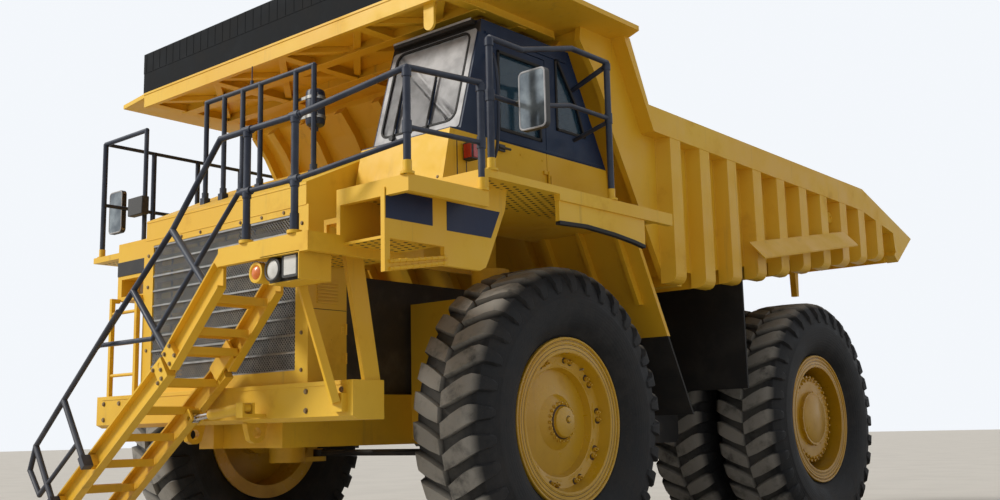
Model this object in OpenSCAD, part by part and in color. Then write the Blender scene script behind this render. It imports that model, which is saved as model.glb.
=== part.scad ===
// Rigid mining dump truck: tipping bed with a canopy, offset cab, stairway across the radiator.
// X points to the truck's left, Y to its rear, Z up. Working places are measured from the
// front axle; the finished truck is shifted so that its origin is under the middle of its box.

/* [Axles and wheels] */
// Distance between the front and rear axles
wheelbase = 4570; // [4450:10:4700]
// Width between the centres of the front tyres
front_track = 4170; // [4140:10:4220]
// Width between the middles of the two rear tyre pairs
rear_track = 3576; // [3540:4:3640]
// Distance between the two tyres of a rear pair
twin_pitch = 877; // [870:1:920]
// Radius of a tyre out to its lugs
tyre_r = 1345; // [1300:5:1360]
// Width of a tyre
tyre_w = 770; // [740:5:790]
// Radius of a rim at its flange
rim_r = 724; // [700:2:760]
// Width of a rim over its flanges
rim_w = 540; // [500:5:560]
// Radius of the seat that carries the tyre
seat_r = 620; // [600:5:640]
// Radius of the front spindles
spindle_r = 120; // [90:5:140]
// Radius of the rear axle's ends
axle_end_r = 200; // [170:5:220]
// Distance from the middle of a front tyre to its strut
strut_in = 605; // [585:5:625]
// Radius of a front strut's rod
strut_rod_r = 120; // [90:5:130]
// Wall of a front strut's barrel
strut_wall = 55; // [40:5:70]
// Length of a steering arm
arm_len = 450; // [400:10:500]

/* [Frame] */
// Distance from the middle of the truck to the outside of a rail
rail_x = 600; // [560:5:640]
// Width of a rail
rail_w = 220; // [160:5:240]
// Height of the rails' underside at the front
rail_z = 1180; // [1160:5:1200]
// Depth of the rails
rail_h = 460; // [420:5:480]
// Distance from the front axle to the bed's pivot
pivot_y = 5700; // [5600:10:5800]
// Height of the bed's pivot
pivot_z = 2300; // [2260:5:2340]
// Radius of the bed's pivot pin
pivot_pin_r = 70; // [50:5:80]

/* [Front end] */
// Half the width of the bumper
bumper_x = 1850; // [1750:10:1900]
// Distance from the front axle to the bumper's face
bumper_y = 2020; // [2000:5:2060]
// Height of the bumper's underside
bumper_z = 1390; // [1360:5:1420]
// Height of the bumper
bumper_h = 300; // [260:5:320]
// Half the width of the radiator guard
guard_x = 1220; // [1180:5:1230]
// Width of the guard's side posts
guard_post = 160; // [120:5:200]
// Height of the guard's top
guard_top = 3150; // [3120:5:3170]
// Number of bars across the grille
grille_bars = 12; // [8:1:16]
// Radius of the holes in the front tow eyes
tow_hole_r = 45; // [30:1:55]

/* [Decks and stairs] */
// Distance from the middle of the truck to the platforms' outer edges
deck_x = 2850; // [2800:5:2900]
// Height of the top of the front deck
front_deck_z = 2710; // [2700:5:2740]
// Height of the top of the front platform
platform_z = 3050; // [3020:5:3070]
// Height of the top of the cab platform
cab_deck_z = 3220; // [3200:5:3240]
// Thickness of the deck plates
deck_t = 60; // [40:5:70]
// Distance from the front axle to the stairway's outer face
stair_y = 2700; // [2680:5:2720]
// Width of the stairway over its stringers
stair_w = 630; // [600:5:640]
// Thickness of a stringer
stringer_t = 80; // [70:5:90]
// Radius of the handrail tubes
tube_r = 24; // [18:1:28]

/* [Cab] */
// Distance from the middle of the truck to the cab's outer side
cab_out = 2290; // [2270:5:2300]
// Distance from the middle of the truck to the cab's inner side
cab_in = 1240; // [1235:5:1260]
// Height of the cab's roof
cab_top = 4720; // [4690:5:4730]
// Thickness of the cab's walls and door
cab_wall = 50; // [40:5:60]

/* [Bed] */
// Half the width of the bed over its side plates
bed_x = 2450; // [2430:5:2470]
// How far the ribs stand out of the side plates
rib_d = 150; // [110:5:170]
// Thickness of the side plates
side_t = 60; // [40:5:80]
// Thickness of the floor
floor_t = 80; // [60:5:100]
// Depth of the beams under the floor
beam_d = 150; // [120:5:170]
// Distance between ribs
rib_pitch = 556; // [540:1:570]
// Width of a rib
rib_w = 190; // [150:5:230]
// Height of the canopy's underside
canopy_z = 4930; // [4920:5:4960]
// Distance from the front axle forward to the canopy's front edge
canopy_y = 1380; // [1340:5:1400]
// Half the width of the canopy over its wings
canopy_x = 2780; // [2740:5:2800]
// Height of the black plate that stands on the canopy
rim_plate_h = 440; // [300:5:460]

/* [Hidden] */

yellow = "gold";
dark = "#1c2230";
black = "#202020";
fit = 0.05;                                 // running fit of a shaft in its bore
seat_gap = 0.3;                             // gap between curved faces that seat
clear = 10;                                 // gap between parts that pass each other
round_fn = 48;

half_front = front_track / 2;
strut_x = half_front - strut_in;
half_rear = rear_track / 2;
axle_z = tyre_r;
tail_y = 7640;                              // end of the bed's floor
low_rail_out = 60;                          // how far the lower stairs' handrail stands out
origin_shift = -(tail_y - stair_y - low_rail_out - 30) / 2;
rail_top = rail_z + rail_h;
bumper_top = bumper_z + bumper_h;
bumper_back = 1700;
guard_front = bumper_y - 80;
guard_back = 1530;
strut_r = strut_rod_r + fit + strut_wall;
rib_y0 = 1430;
floor_y = rib_y0 + rib_pitch;               // where the bed's floor starts to rise
floor_z = 2800;
floor_rise = 0.168;
function floor_at(y) = floor_z + max(0, y - floor_y) * floor_rise;
rail_top_at_pivot = pivot_z - 90;
function frame_top_at(y) = 2150 + (y - 2100) * (rail_top_at_pivot - 2150) / (pivot_y - 2100);

// Helpers

module box(x0, x1, y0, y1, z0, z1)
    translate([x0, y0, z0]) cube([x1 - x0, y1 - y0, z1 - z0]);

// outline in Y and Z, drawn out along X
module side_on(points, x0, x1)
    translate([x0, 0, 0]) rotate([90, 0, 90]) linear_extrude(x1 - x0) polygon(points);

// outline in X and Z, drawn out along Y
module front_on(points, y0, y1)
    translate([0, y1, 0]) rotate([90, 0, 0]) linear_extrude(y1 - y0) polygon(points);

// round bar from one point to another
module bar(a, b, r) {
    d = b - a;
    translate(a) rotate([0, acos(d[2] / norm(d)), atan2(d[1], d[0])])
        cylinder(r = r, h = norm(d), $fn = 24);
}

// bar of width w and thickness t from one point to another
module flat_bar(a, b, w, t) {
    d = b - a;
    translate(a) rotate([0, acos(d[2] / norm(d)), atan2(d[1], d[0])])
        translate([-t / 2, -w / 2, 0]) cube([t, w, norm(d)]);
}

// bent tube through a list of points
module tube(points, r = tube_r) {
    for (i = [0 : len(points) - 2]) bar(points[i], points[i + 1], r);
    for (i = [1 : len(points) - 2]) translate(points[i]) sphere(r = r + 1, $fn = 24);
}

// outline of radius and place along the axle, turned about the X axis
module turned(points)
    rotate([0, 90, 0]) rotate_extrude($fn = 96) polygon(points);

module both_sides() {
    children();
    mirror([1, 0, 0]) children();
}

module x_rod(x0, x1, y, z, r)
    translate([x0, y, z]) rotate([0, 90, 0]) cylinder(r = r, h = x1 - x0, $fn = round_fn);

// Frame and driveline

horn_z0 = 1900;
horn_z1 = 2500;
strut_top = 2750;

module rail() {
    side_on([[-bumper_back, rail_z], [1500, rail_z], [2500, 1720], [pivot_y + 250, 1900],
        [pivot_y + 250, rail_top_at_pivot], [2100, 2150], [1300, rail_top],
        [-bumper_back, rail_top]], rail_x - rail_w, rail_x);
}

module frame_cross(y, z, w, h) box(rail_w - rail_x, rail_x - rail_w, y - w / 2, y + w / 2, z, z + h);

module strut_horn() difference() {
    front_on([[rail_x, rail_z + 40], [rail_x, horn_z1], [strut_x, horn_z1], [strut_x, horn_z0],
        [1000, horn_z0 - 60], [rail_x + 160, rail_z + 40]], -170, 170);
    translate([strut_x, 0, horn_z0 - 80]) cylinder(r = strut_r + seat_gap, h = 900, $fn = 96);
}

module pivot_cheek() difference() {
    side_on([[pivot_y - 220, rail_top_at_pivot], [pivot_y - 120, pivot_z + 120],
        [pivot_y + 120, pivot_z + 120], [pivot_y + 220, rail_top_at_pivot]], rail_x - 60, rail_x);
    x_rod(rail_x - 70, rail_x + 10, pivot_y, pivot_z, pivot_pin_r);
}

module hoist_foot() {
    side_on([[1930, 1740], [2270, 1790], [2240, 1160], [2160, 1090], [2040, 1090], [1970, 1160]],
        rail_x, rail_x + 40);
    x_rod(rail_x + 40, hoist_x + 110, hoist_foot_y, hoist_foot_z, hoist_pin_r);
}

module tank_arms() for (y = [tank_y0 + 20, tank_y1 - 100])
    box(rail_x, tank_x0, y, y + 80, 1800, 1880);

module rear_strut_bracket() box(rail_x, rear_strut_x + 100, rear_strut_y - 90, rear_strut_y + 90,
    rear_strut_top, rear_strut_top + 120);

// lugs and pin that hold the nose of the axle's frame
module nose_hanger() {
    both_sides() box(nose_w + seat_gap, nose_w + 60, nose_y - 90, nose_y + 90, nose_z - 90, 1810);
    x_rod(-nose_w - 60, nose_w + 60, nose_y, nose_z, nose_pin_r);
}

module frame() color(yellow) {
    both_sides() {
        rail();
        strut_horn();
        pivot_cheek();
        hoist_foot();
        tank_arms();
        rear_strut_bracket();
        x_rod(rail_x, rail_x + 90, pivot_y, pivot_z, pivot_pin_r);
    }
    frame_cross(-1500, rail_z, 200, 300);
    frame_cross(1350, rail_z, 240, 380);
    frame_cross(nose_y, 1800, 260, 300);
    frame_cross(pivot_y + 100, 1900, 260, 200);
    nose_hanger();
    rear_pin_block();
}

module rear_pin_block() difference() {
    box(-200, 200, pivot_y + 230, pivot_y + 430, 1930, 2060);
    translate([0, pivot_y + 340, 1920]) cylinder(r = tow_hole_r, h = 150, $fn = round_fn);
}

// shelf and lugs on the bumper's face for the stairs' cylinder
module cylinder_bracket() {
    mid = cyl_y - stair_y;
    box(cyl_foot[0] - 45, cyl_foot[0] + 45, mid - 60, 1 - bumper_y, cyl_foot[1] - 80, cyl_foot[1] - 50);
    for (y = [mid - 60, mid + 40]) difference() {
        box(cyl_foot[0] - 45, cyl_foot[0] + 45, y, y + 20, cyl_foot[1] - 51, cyl_foot[1] + 40);
        translate([cyl_foot[0], y + 10, cyl_foot[1]]) y_rod(cyl_pin_r, 24);
    }
}

module front_bumper() color(yellow) {
    cylinder_bracket();
    side_on([[-bumper_y, bumper_z + 30], [-bumper_y, bumper_top], [-bumper_back, bumper_top],
        [-bumper_back, bumper_z], [-bumper_y + 60, bumper_z]], -bumper_x, bumper_x);
    both_sides() tow_eye();
}

tow_y = -1870;
tow_eye_t = 60;

module tow_eye() translate([0, tow_y, bumper_z]) difference() {
    side_on([[-110, 1], [110, 1], [70, -140], [25, -165], [-25, -165], [-70, -140]], 420, 420 + tow_eye_t);
    x_rod(410, 430 + tow_eye_t, 0, -80, tow_hole_r);
}

module radiator_guard() color(yellow) {
    difference() {
        box(-guard_x, guard_x, -guard_front, -guard_back, bumper_top, guard_top);
        box(guard_post - guard_x, guard_x - guard_post, -guard_front - 1, -guard_back + 1,
            bumper_top + 110, guard_top - 60);
    }
    louvre_rows();
}

// slats on the guard's left side
module louvre_rows() for (i = [0 : 6]) box(guard_x, guard_x + 12, -guard_front + 90,
    -guard_front + 310, 2340 + i * 28, 2354 + i * 28);

grille_z0 = bumper_top + 110;
grille_z1 = guard_top - 60;

module grille() color("dimgray") {
    grille_in = guard_x - guard_post;
    pitch = (grille_z1 - grille_z0 - 40) / grille_bars;
    both_sides() box(grille_in - 40, grille_in, -guard_front + 20, -guard_front + 70, grille_z0, grille_z1);
    for (i = [0 : grille_bars]) box(-grille_in + 40, grille_in - 40, -guard_front + 20,
        -guard_front + 60, grille_z0 + i * pitch, grille_z0 + i * pitch + 40);
    for (x = [-840 : 210 : 840]) box(x - 10, x + 10, -guard_front + 60, -guard_front + 70,
        grille_z0 + 20, grille_z1 - 20);
}

hood_top = 3780;
hood_nose = guard_top + 190;                // height of the hood's front edge
hood_knee = -1000;                          // where its slope ends
hood_back = 420;
function hood_slope(y) = hood_nose + (y + guard_front) * (hood_top - hood_nose) / (hood_knee + guard_front);

module hood() color(yellow) difference() {
    side_on([[-guard_front, guard_top], [-guard_front, hood_nose], [hood_knee, hood_top],
        [hood_back, hood_top], [hood_back, front_deck_z + 40], [-guard_back + clear, front_deck_z + 40],
        [-guard_back + clear, guard_top]], -guard_x + 30, guard_x - 30);
    side_on([[-guard_front + 60, guard_top - 1], [-guard_front + 60, guard_top + 150], [-980, hood_top - 40],
        [hood_back + 1, hood_top - 40], [hood_back + 1, front_deck_z], [-guard_back + 70, front_deck_z],
        [-guard_back + 70, guard_top - 1]], -guard_x + 70, guard_x - 70);
}

module engine() color("gray") {
    box(-540, 540, -1300, 700, rail_top + seat_gap, 2720);
    box(-340, 340, -1150, 600, rail_z + 60, rail_top + 1);
    box(-900, 900, -guard_back - 180, -guard_back - 20, grille_z0 + 30, grille_z1 - 30);
    box(-700, 700, -guard_back - 20, -1300, 1900, 2700);
}

module gearbox() color("gray") {
    gearbox_in = rail_x - rail_w - seat_gap;
    shaft_z = 1465;
    shaft_end = wheelbase - ball_r - seat_gap;
    x_rod(-gearbox_in, gearbox_in, 1850, 1560, 300);
    translate([0, 2000, shaft_z]) rotate([-90, 0, 0]) cylinder(r = 75, h = shaft_end - 2000, $fn = round_fn);
}

module strut_barrels() both_sides() translate([strut_x, 0, 0]) difference() {
    union() {
        translate([0, 0, horn_z0 - 40]) cylinder(r = strut_r, h = strut_top - horn_z0 + 40, $fn = 96);
        translate([0, 0, horn_z1 + 1]) cylinder(r = strut_r + 40, h = 60, $fn = 96);
    }
    translate([0, 0, horn_z0 - 41]) cylinder(r = strut_rod_r + fit, h = strut_top - horn_z0 - 9, $fn = 96);
}

// Steered front wheels

arm_z = 1000;
arm_t = 50;
tie_pin_r = 35;
tie_eye_h = 76;
hub_back = 150;                             // how far the hub reaches inboard of the wheel's middle

module knuckle(side) color(yellow) {
    translate([side * strut_x, 0, 0]) {
        translate([0, 0, arm_z]) cylinder(r = 190, h = 620, $fn = 96);
        translate([0, 0, arm_z + 600]) cylinder(r = strut_rod_r, h = strut_top - arm_z - 700, $fn = 96);
        box(-70, 70, 100, arm_len, arm_z, arm_z + arm_t);
        translate([0, arm_len, arm_z]) cylinder(r = 70, h = arm_t, $fn = round_fn);
        translate([0, arm_len, arm_z + arm_t - 1]) cylinder(r = tie_pin_r, h = tie_eye_h + 10, $fn = round_fn);
    }
    mirror([side < 0 ? 1 : 0, 0, 0]) {
        x_rod(strut_x + 100, half_front - hub_back - clear, 0, axle_z, 185);
        x_rod(strut_x + 100, half_front + 100, 0, axle_z, spindle_r);
    }
}

module left_knuckle() knuckle(1);
module right_knuckle() knuckle(-1);

module tie_rod() color(dark) {
    both_sides() translate([strut_x, arm_len, arm_z + arm_t + 1]) difference() {
        cylinder(r = 70, h = tie_eye_h, $fn = round_fn);
        translate([0, 0, -1]) cylinder(r = tie_pin_r + fit, h = tie_eye_h + 2, $fn = round_fn);
    }
    x_rod(-strut_x + 60, strut_x - 60, arm_len, arm_z + arm_t + 1 + tie_eye_h / 2, 34);
}

// wheels: outlines are radius and place along the axle, outer side at positive X

module tyre() color(black) turned([
    for (s = [-1, 1]) each let (h = rim_w / 2 - 36, t = tyre_w / 2, p = [
        [seat_r + seat_gap, h], [rim_r + 6, h + 14], [rim_r + 40, h + 70], [tyre_r * 0.71, t],
        [tyre_r * 0.84, t], [tyre_r * 0.945, t - 38], [tyre_r * 0.98, t - 70], [tyre_r, t - 130]])
        [for (i = [0 : 7]) let (q = p[s < 0 ? i : 7 - i]) [q[0], s * q[1]]]]);

module front_rim() color(yellow) turned([[0, 205], [130, 205], [150, 185], [240, 120],
    [seat_r - 170, 90], [seat_r - 150, 150], [seat_r - 60, 170], [seat_r - 30, rim_w / 2], [rim_r, rim_w / 2], [rim_r, rim_w / 2 - 20],
    [seat_r, rim_w / 2 - 35], [seat_r, 35 - rim_w / 2], [rim_r, 20 - rim_w / 2], [rim_r, -rim_w / 2],
    [seat_r - 30, -rim_w / 2], [seat_r - 40, 60], [250, 30], [250, -hub_back],
    [spindle_r + fit, -hub_back], [spindle_r + fit, 120], [0, 120]]);

module on_front(side) translate([side * half_front, 0, axle_z]) mirror([side < 0 ? 1 : 0, 0, 0]) children();
module on_rear(side) translate([side * half_rear, wheelbase, axle_z]) mirror([side < 0 ? 1 : 0, 0, 0]) children();

module left_front_rim() on_front(1) front_rim();
module right_front_rim() on_front(-1) front_rim();
module left_front_tyre() on_front(1) tyre();
module right_front_tyre() on_front(-1) tyre();

hub_face = twin_pitch / 2 + rim_w / 2 - 100;

module rear_rims() color(yellow) {
    o = twin_pitch / 2;
    w = rim_w / 2;
    turned([[0, hub_face + 40], [300, hub_face + 40], [310, hub_face], [460, hub_face], [460, 60],
        [seat_r - 30, 60], [seat_r - 30, o + w], [rim_r, o + w], [rim_r, o + w - 20], [seat_r, o + w - 35],
        [seat_r, o - w + 35], [rim_r, o - w + 20], [rim_r, o - w], [seat_r - 10, o - w],
        [seat_r - 10, w - o], [rim_r, w - o], [rim_r, w - o - 20], [seat_r, w - o - 35],
        [seat_r, 35 - w - o], [rim_r, 20 - w - o], [rim_r, -w - o], [seat_r - 30, -w - o],
        [seat_r - 40, 0], [320, 0], [320, 60 - w - o], [axle_end_r + fit, 60 - w - o],
        [axle_end_r + fit, o], [0, o]]);
}

module left_rear_rims() on_rear(1) rear_rims();
module right_rear_rims() on_rear(-1) rear_rims();

module rear_tyres() for (s = [-1, 1]) translate([s * twin_pitch / 2, 0, 0]) tyre();
module left_rear_tyres() on_rear(1) rear_tyres();
module right_rear_tyres() on_rear(-1) rear_tyres();

// Rear axle and its suspension

axle_tube_r = 270;
ball_r = 490;                               // radius of the axle's middle
nose_w = 110;
nose_r = 100;
nose_pin_r = 50;
nose_y = 2560;
nose_z = 1280;
rear_strut_x = 780;
rear_strut_y = wheelbase + 380;
rear_strut_top = 2100;
rear_strut_foot = 1420;

module rear_axle() color(yellow) {
    inner_end = half_rear - twin_pitch / 2 - rim_w / 2 + 60 - clear;
    outer_end = half_rear + twin_pitch / 2 - 20;
    side = [[0, outer_end], [axle_end_r, outer_end], [axle_end_r, inner_end], [axle_tube_r, inner_end],
        [axle_tube_r, 470], [360, 400], [440, 290], [ball_r, 140]];
    translate([0, wheelbase, axle_z])
        turned(concat(side, [for (i = [7 : -1 : 0]) [side[i][0], -side[i][1]]]));
    both_sides() {
        box(rear_strut_x - 90, rear_strut_x + 90, wheelbase + 200, rear_strut_y + 90,
            rear_strut_foot - 110, rear_strut_foot);
        translate([0, 0, nose_z - 80]) linear_extrude(160)
            polygon([[30, nose_y + 60], [nose_w, nose_y + 60], [nose_w, nose_y + 100],
                [460, wheelbase - 200], [300, wheelbase - 200]]);
    }
    difference() {
        x_rod(-nose_w, nose_w, nose_y, nose_z, nose_r);
        x_rod(-nose_w - 1, nose_w + 1, nose_y, nose_z, nose_pin_r + fit);
    }
}

module rear_struts() both_sides() translate([rear_strut_x, rear_strut_y, 0]) {
    translate([0, 0, rear_strut_foot]) cylinder(r = 72, h = 300, $fn = round_fn);
    translate([0, 0, rear_strut_foot + 280]) cylinder(r = 105,
        h = rear_strut_top - rear_strut_foot - 280, $fn = round_fn);
}

module struts() color(yellow) {
    strut_barrels();
    rear_struts();
}

// Tanks between the axles

tank_x0 = 960;
tank_x1 = 1650;
tank_y1 = wheelbase - tyre_r - 365;
tank_y0 = tank_y1 - 800;

module side_tanks() color(black) both_sides()
    side_on([[tank_y0 + 60, 1120], [tank_y0, 1180], [tank_y0, 1840], [tank_y0 + 60, 1900],
        [tank_y1 - 60, 1900], [tank_y1, 1840], [tank_y1, 1180], [tank_y1 - 60, 1120]], tank_x0, tank_x1);

// Hoist: two cylinders side by side, each a barrel with two stages

hoist_x = 780;
hoist_foot_y = 2100;
hoist_foot_z = 1200;
hoist_head_y = 3000;
hoist_head_z = 2640;
hoist_pin_r = 60;
hoist_r = 120;
hoist_stage_r = 95;
hoist_rod_r = 70;
hoist_len = norm([hoist_head_y - hoist_foot_y, hoist_head_z - hoist_foot_z]);
hoist_tilt = atan2(hoist_head_y - hoist_foot_y, hoist_head_z - hoist_foot_z);

// places its children on the hoist's axis, Z pointing from the foot to the head
module on_hoist() both_sides() translate([hoist_x, hoist_foot_y, hoist_foot_z])
    rotate([-hoist_tilt, 0, 0]) children();

module hoist_eye(z) translate([0, 0, z]) rotate([0, 90, 0]) difference() {
    cylinder(r = 105, h = 160, center = true, $fn = round_fn);
    cylinder(r = hoist_pin_r + fit, h = 170, center = true, $fn = round_fn);
}

module hoist_barrels() color(yellow) on_hoist() {
    hoist_eye(0);
    difference() {
        translate([0, 0, 80]) cylinder(r = hoist_r, h = hoist_len - 260, $fn = round_fn);
        translate([0, 0, 125]) cylinder(r = hoist_stage_r + fit, h = hoist_len, $fn = round_fn);
        rotate([0, 90, 0]) cylinder(r = hoist_pin_r + fit, h = 400, center = true, $fn = round_fn);
    }
}

module hoist_stages() color("silver") on_hoist() difference() {
    translate([0, 0, 130]) cylinder(r = hoist_stage_r, h = hoist_len - 280, $fn = round_fn);
    translate([0, 0, 160]) cylinder(r = hoist_rod_r + fit, h = hoist_len, $fn = round_fn);
}

module hoist_rods() color("silver") on_hoist() {
    hoist_eye(hoist_len);
    difference() {
        translate([0, 0, 165]) cylinder(r = hoist_rod_r, h = hoist_len - 245, $fn = round_fn);
        translate([0, 0, hoist_len]) rotate([0, 90, 0])
            cylinder(r = hoist_pin_r + fit, h = 400, center = true, $fn = round_fn);
    }
    translate([0, 0, hoist_len]) rotate([0, 90, 0]) cylinder(r = hoist_pin_r, h = 160, center = true, $fn = round_fn);
}

// Decks over the front wheels

deck_in = 1230;                             // inner edge of the decks
step_x = 2140;                              // outer edge of the front deck
deck_back = 1000;

// platform over a wheel, with its skirt and the plate behind the wheel
module wheel_deck() {
    box(deck_in, deck_x, -1560, deck_back, cab_deck_z - deck_t, cab_deck_z);
    box(deck_x - 60, deck_x, -690, deck_back, cab_deck_z - deck_t - 50, cab_deck_z - deck_t);
    side_on([[-680, cab_deck_z - deck_t - 1], [560, cab_deck_z - deck_t - 1], [560, 2875], [400, 2900],
        [100, 2930], [-300, 2950], [-680, 2935]], deck_x - 60, deck_x - 20);
    side_on([[deck_back - 50, 3161], [deck_back, 3161], [1540, 2150], [1490, 2150]], deck_in + 70, 2430);
    for (x = [1400, 1820, 2240]) side_on([[deck_back - 130, 3161], [deck_back - 40, 3161], [1340, 2450],
        [1250, 2450]], x, x + 40);
}

module front_deck() {
    box(deck_in, step_x, -stair_y, -1540, front_deck_z - deck_t, front_deck_z);
    box(1070, deck_in, -stair_y, -2000, front_deck_z - deck_t, front_deck_z);
    box(1070, step_x, -stair_y, -stair_y + 50, front_deck_z - 140, front_deck_z - deck_t);
    box(step_x - 50, step_x, -stair_y, -1540, front_deck_z - 140, front_deck_z - deck_t);
}

module front_platform() {
    box(step_x - 40, deck_x, -2400, -1559, platform_z - deck_t, platform_z);
    box(step_x - 40, step_x, -2400, -1559, front_deck_z - 1, platform_z);
    box(deck_x - 50, deck_x, -2400, -1559, platform_z - deck_t - 60, platform_z);
    box(step_x, deck_x, -2400, -2350, platform_z - deck_t - 60, platform_z);
    box(1900, step_x - 39, -2350, -1700, front_deck_z + 110, front_deck_z + 150);
    both_steps() box(1900, 1930, -2350, -2320, front_deck_z - 1, front_deck_z + 111);
    difference() {
        side_on([[-2410, platform_z - deck_t], [-1559, platform_z - deck_t], [-1559, cab_deck_z - deck_t],
            [-1080, cab_deck_z - deck_t], [-1110, 3000], [-1310, 2590], [-1350, 2520], [-1410, 2490],
            [-1800, 2490], [-2410, 2390]], deck_x - 270, deck_x - 230);
        side_on([[-2360, 2470], [-2360, 2630], [-1810, 2630], [-1810, 2555]], deck_x - 271, deck_x - 229);
    }
    box(step_x - 1, deck_x - 269, -2360, -1810, 2640, 2660);
    box(step_x, deck_x, -1600, -1559, platform_z - 1, cab_deck_z);
}

module both_steps() {
    children();
    translate([0, 620, 0]) children();
}

module deck_post() side_on([[-2080, front_deck_z - deck_t], [-1900, front_deck_z - deck_t],
    [-1720, bumper_top], [-1880, bumper_top]], bumper_x - 60, bumper_x - 20);

module left_decks() color(yellow) {
    wheel_deck();
    front_deck();
    front_platform();
    deck_post();
    box(1480, 1640, -2410, -2290, front_deck_z - 140, front_deck_z - deck_t + 1);
    box(1660, 1780, -bumper_y - 50, -bumper_y - seat_gap, bumper_z + 60, bumper_z + 200);
    flat_bar([1560, -2350, front_deck_z - 120], [1720, -bumper_y - 60, bumper_z + 130], 90, 60);
}

ladder_x = [-1735, -1285];

module ladder() {
    for (x = ladder_x) box(x, x + 40, -1990, -1950, bumper_top, 2640);
    for (z = [bumper_top + 200 : 300 : 2600]) x_rod(ladder_x[0] + 35, ladder_x[1] + 5, -1970, z, 16);
    for (x = ladder_x) box(x, x + 40, -1951, -1899, 2600, 2640);
}

module right_decks() color(yellow) {
    mirror([1, 0, 0]) wheel_deck();
    ladder();
    difference() {
        box(-1750, -deck_in, -1900, -1559, 2620, 3190);
        box(-1680, -deck_in - 60, -1901, -1600, 2660, 2830);
        box(-1720, -deck_in - 20, -1901, -1860, 2870, 3000);
    }
}

// Stairs: two flights that meet at a hinge and fall towards the truck's right

hinge_at = [300, 1860];                     // the hinge in X and Z
up_angle = 44;
low_angle = 35.5;
low_len = 2400;
stringer_d = 190;
channel_t = 14;
pin_v = 45;                                 // height of the hinge over the stringers' middle
hinge_pin_r = 22;
head_x = 1070 - seat_gap;
tread_rise = 235;
tread_pitch = 375;
tread_d = 220;
tread_t = 30;

// these place their children in a flight's own directions: X up the flight, Z square to it
module on_flight(angle) translate([hinge_at[0], -stair_y, hinge_at[1]]) rotate([0, -angle, 0]) children();
function in_truck(p, angle) = hinge_at + [p[0] * cos(angle) - p[1] * sin(angle),
    p[0] * sin(angle) + p[1] * cos(angle)];

up_len = (head_x - hinge_at[0]) / cos(up_angle);

module stringers(u0, u1) for (y = [0, stair_w - stringer_t]) difference() {
    box(u0, u1, y, y + stringer_t, -stringer_d / 2 - pin_v, stringer_d / 2 - pin_v);
    box(u0 + 130, u1 - 130, y - 1, y + stringer_t - 2 * channel_t, channel_t - stringer_d / 2 - pin_v,
        stringer_d / 2 - channel_t - pin_v);
}

module tread(u, angle) translate([u, stringer_t - 1, -pin_v]) rotate([0, angle, 0])
    translate([-tread_d / 2, 0, 0]) cube([tread_d, stair_w - 2 * stringer_t + 2, tread_t]);

module hinge_holes(r) for (y = [-10, stair_w - stringer_t - 10])
    translate([0, y, 0]) rotate([-90, 0, 0]) cylinder(r = r, h = stringer_t + 20, $fn = round_fn);

// plates inside the stringers that carry the hinge pins
module hinge_plates() for (s = [0, 1]) translate([0, s * stair_w, 0]) mirror([0, s, 0]) {
    box(-60, 260, stringer_t + 6, stringer_t + 26, -100, 50);
    box(90, 260, stringer_t - 1, stringer_t + 7, -100, 50);
    translate([0, 4, 0]) rotate([-90, 0, 0]) cylinder(r = hinge_pin_r, h = stringer_t + 10, $fn = round_fn);
}

module upper_stairs() color(yellow) on_flight(up_angle) {
    difference() {
        stringers(80, up_len + 100);
        translate([up_len, -1, 0]) rotate([0, up_angle, 0]) translate([0, 0, -500])
            cube([500, stair_w + 2, 1000]);
    }
    for (i = [1, 2]) tread(up_len - i * tread_rise / sin(up_angle), up_angle);
    tread(190, up_angle);
    hinge_plates();
}

module lower_stairs() color(yellow) on_flight(low_angle) {
    difference() {
        stringers(-low_len, 45);
        hinge_holes(hinge_pin_r + fit);
    }
    for (u = [-175 : -tread_pitch : -low_len + 60]) tread(u, low_angle);
    low_rail();
    cylinder_lug(cyl_low);
}

low_posts = [[-1870, 573], [-1261, 621]];   // top of each post along and over the lower flight
low_rail_v = 165;

module low_rail() {
    y = -low_rail_out;
    for (p = low_posts) {
        box(p[0] - 30, p[0] + 30, y - 30, stringer_t - 2 * channel_t + 1, -90, 20);
        bar([p[0], y, 0], [p[0], y, p[1]], tube_r + 3);
    }
    tube([[low_posts[0][0], y, low_rail_v], [-2030, y, low_rail_v], [-2065, y, 450], [low_posts[0][0], y, 573],
        [low_posts[1][0], y, 621], [-160, y, 700]]);
    bar([low_posts[0][0], y, low_rail_v], [low_posts[1][0], y, low_rail_v], tube_r - 4);
}

// cylinder that swings the lower stairs, beside the far stringer
cyl_y = stair_w - 120;
cyl_foot = [750, 1510];                     // pin on the bumper's bracket, in X and Z
cyl_low = [-450, -190];                     // pin on the lower flight, in its directions
cyl_r = 45;
cyl_rod_r = 25;
cyl_pin_r = 20;
cyl_eye_r = 38;
cyl_ends = [cyl_foot, in_truck(cyl_low, low_angle)];
cyl_len = norm(cyl_ends[1] - cyl_ends[0]);

module on_cylinder(end) translate([cyl_ends[end][0], cyl_y - stair_y, cyl_ends[end][1]])
    rotate([0, -atan2(cyl_ends[0][1] - cyl_ends[1][1], cyl_ends[0][0] - cyl_ends[1][0]), 0]) children();

module y_rod(r, h) rotate([-90, 0, 0]) cylinder(r = r, h = h, center = true, $fn = round_fn);

module cylinder_lug(p) {
    low = -stringer_d / 2 - pin_v;
    for (y = [cyl_y - 60, cyl_y + 40]) difference() {
        box(p[0] - 45, p[0] + 45, y, y + 20, p[1] - 40, low + 20);
        translate([p[0], y + 10, p[1]]) y_rod(cyl_pin_r, 24);
    }
    box(p[0] - 45, p[0] + 45, cyl_y - 60, stair_w - stringer_t + 1, low, low + 20);
}

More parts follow.
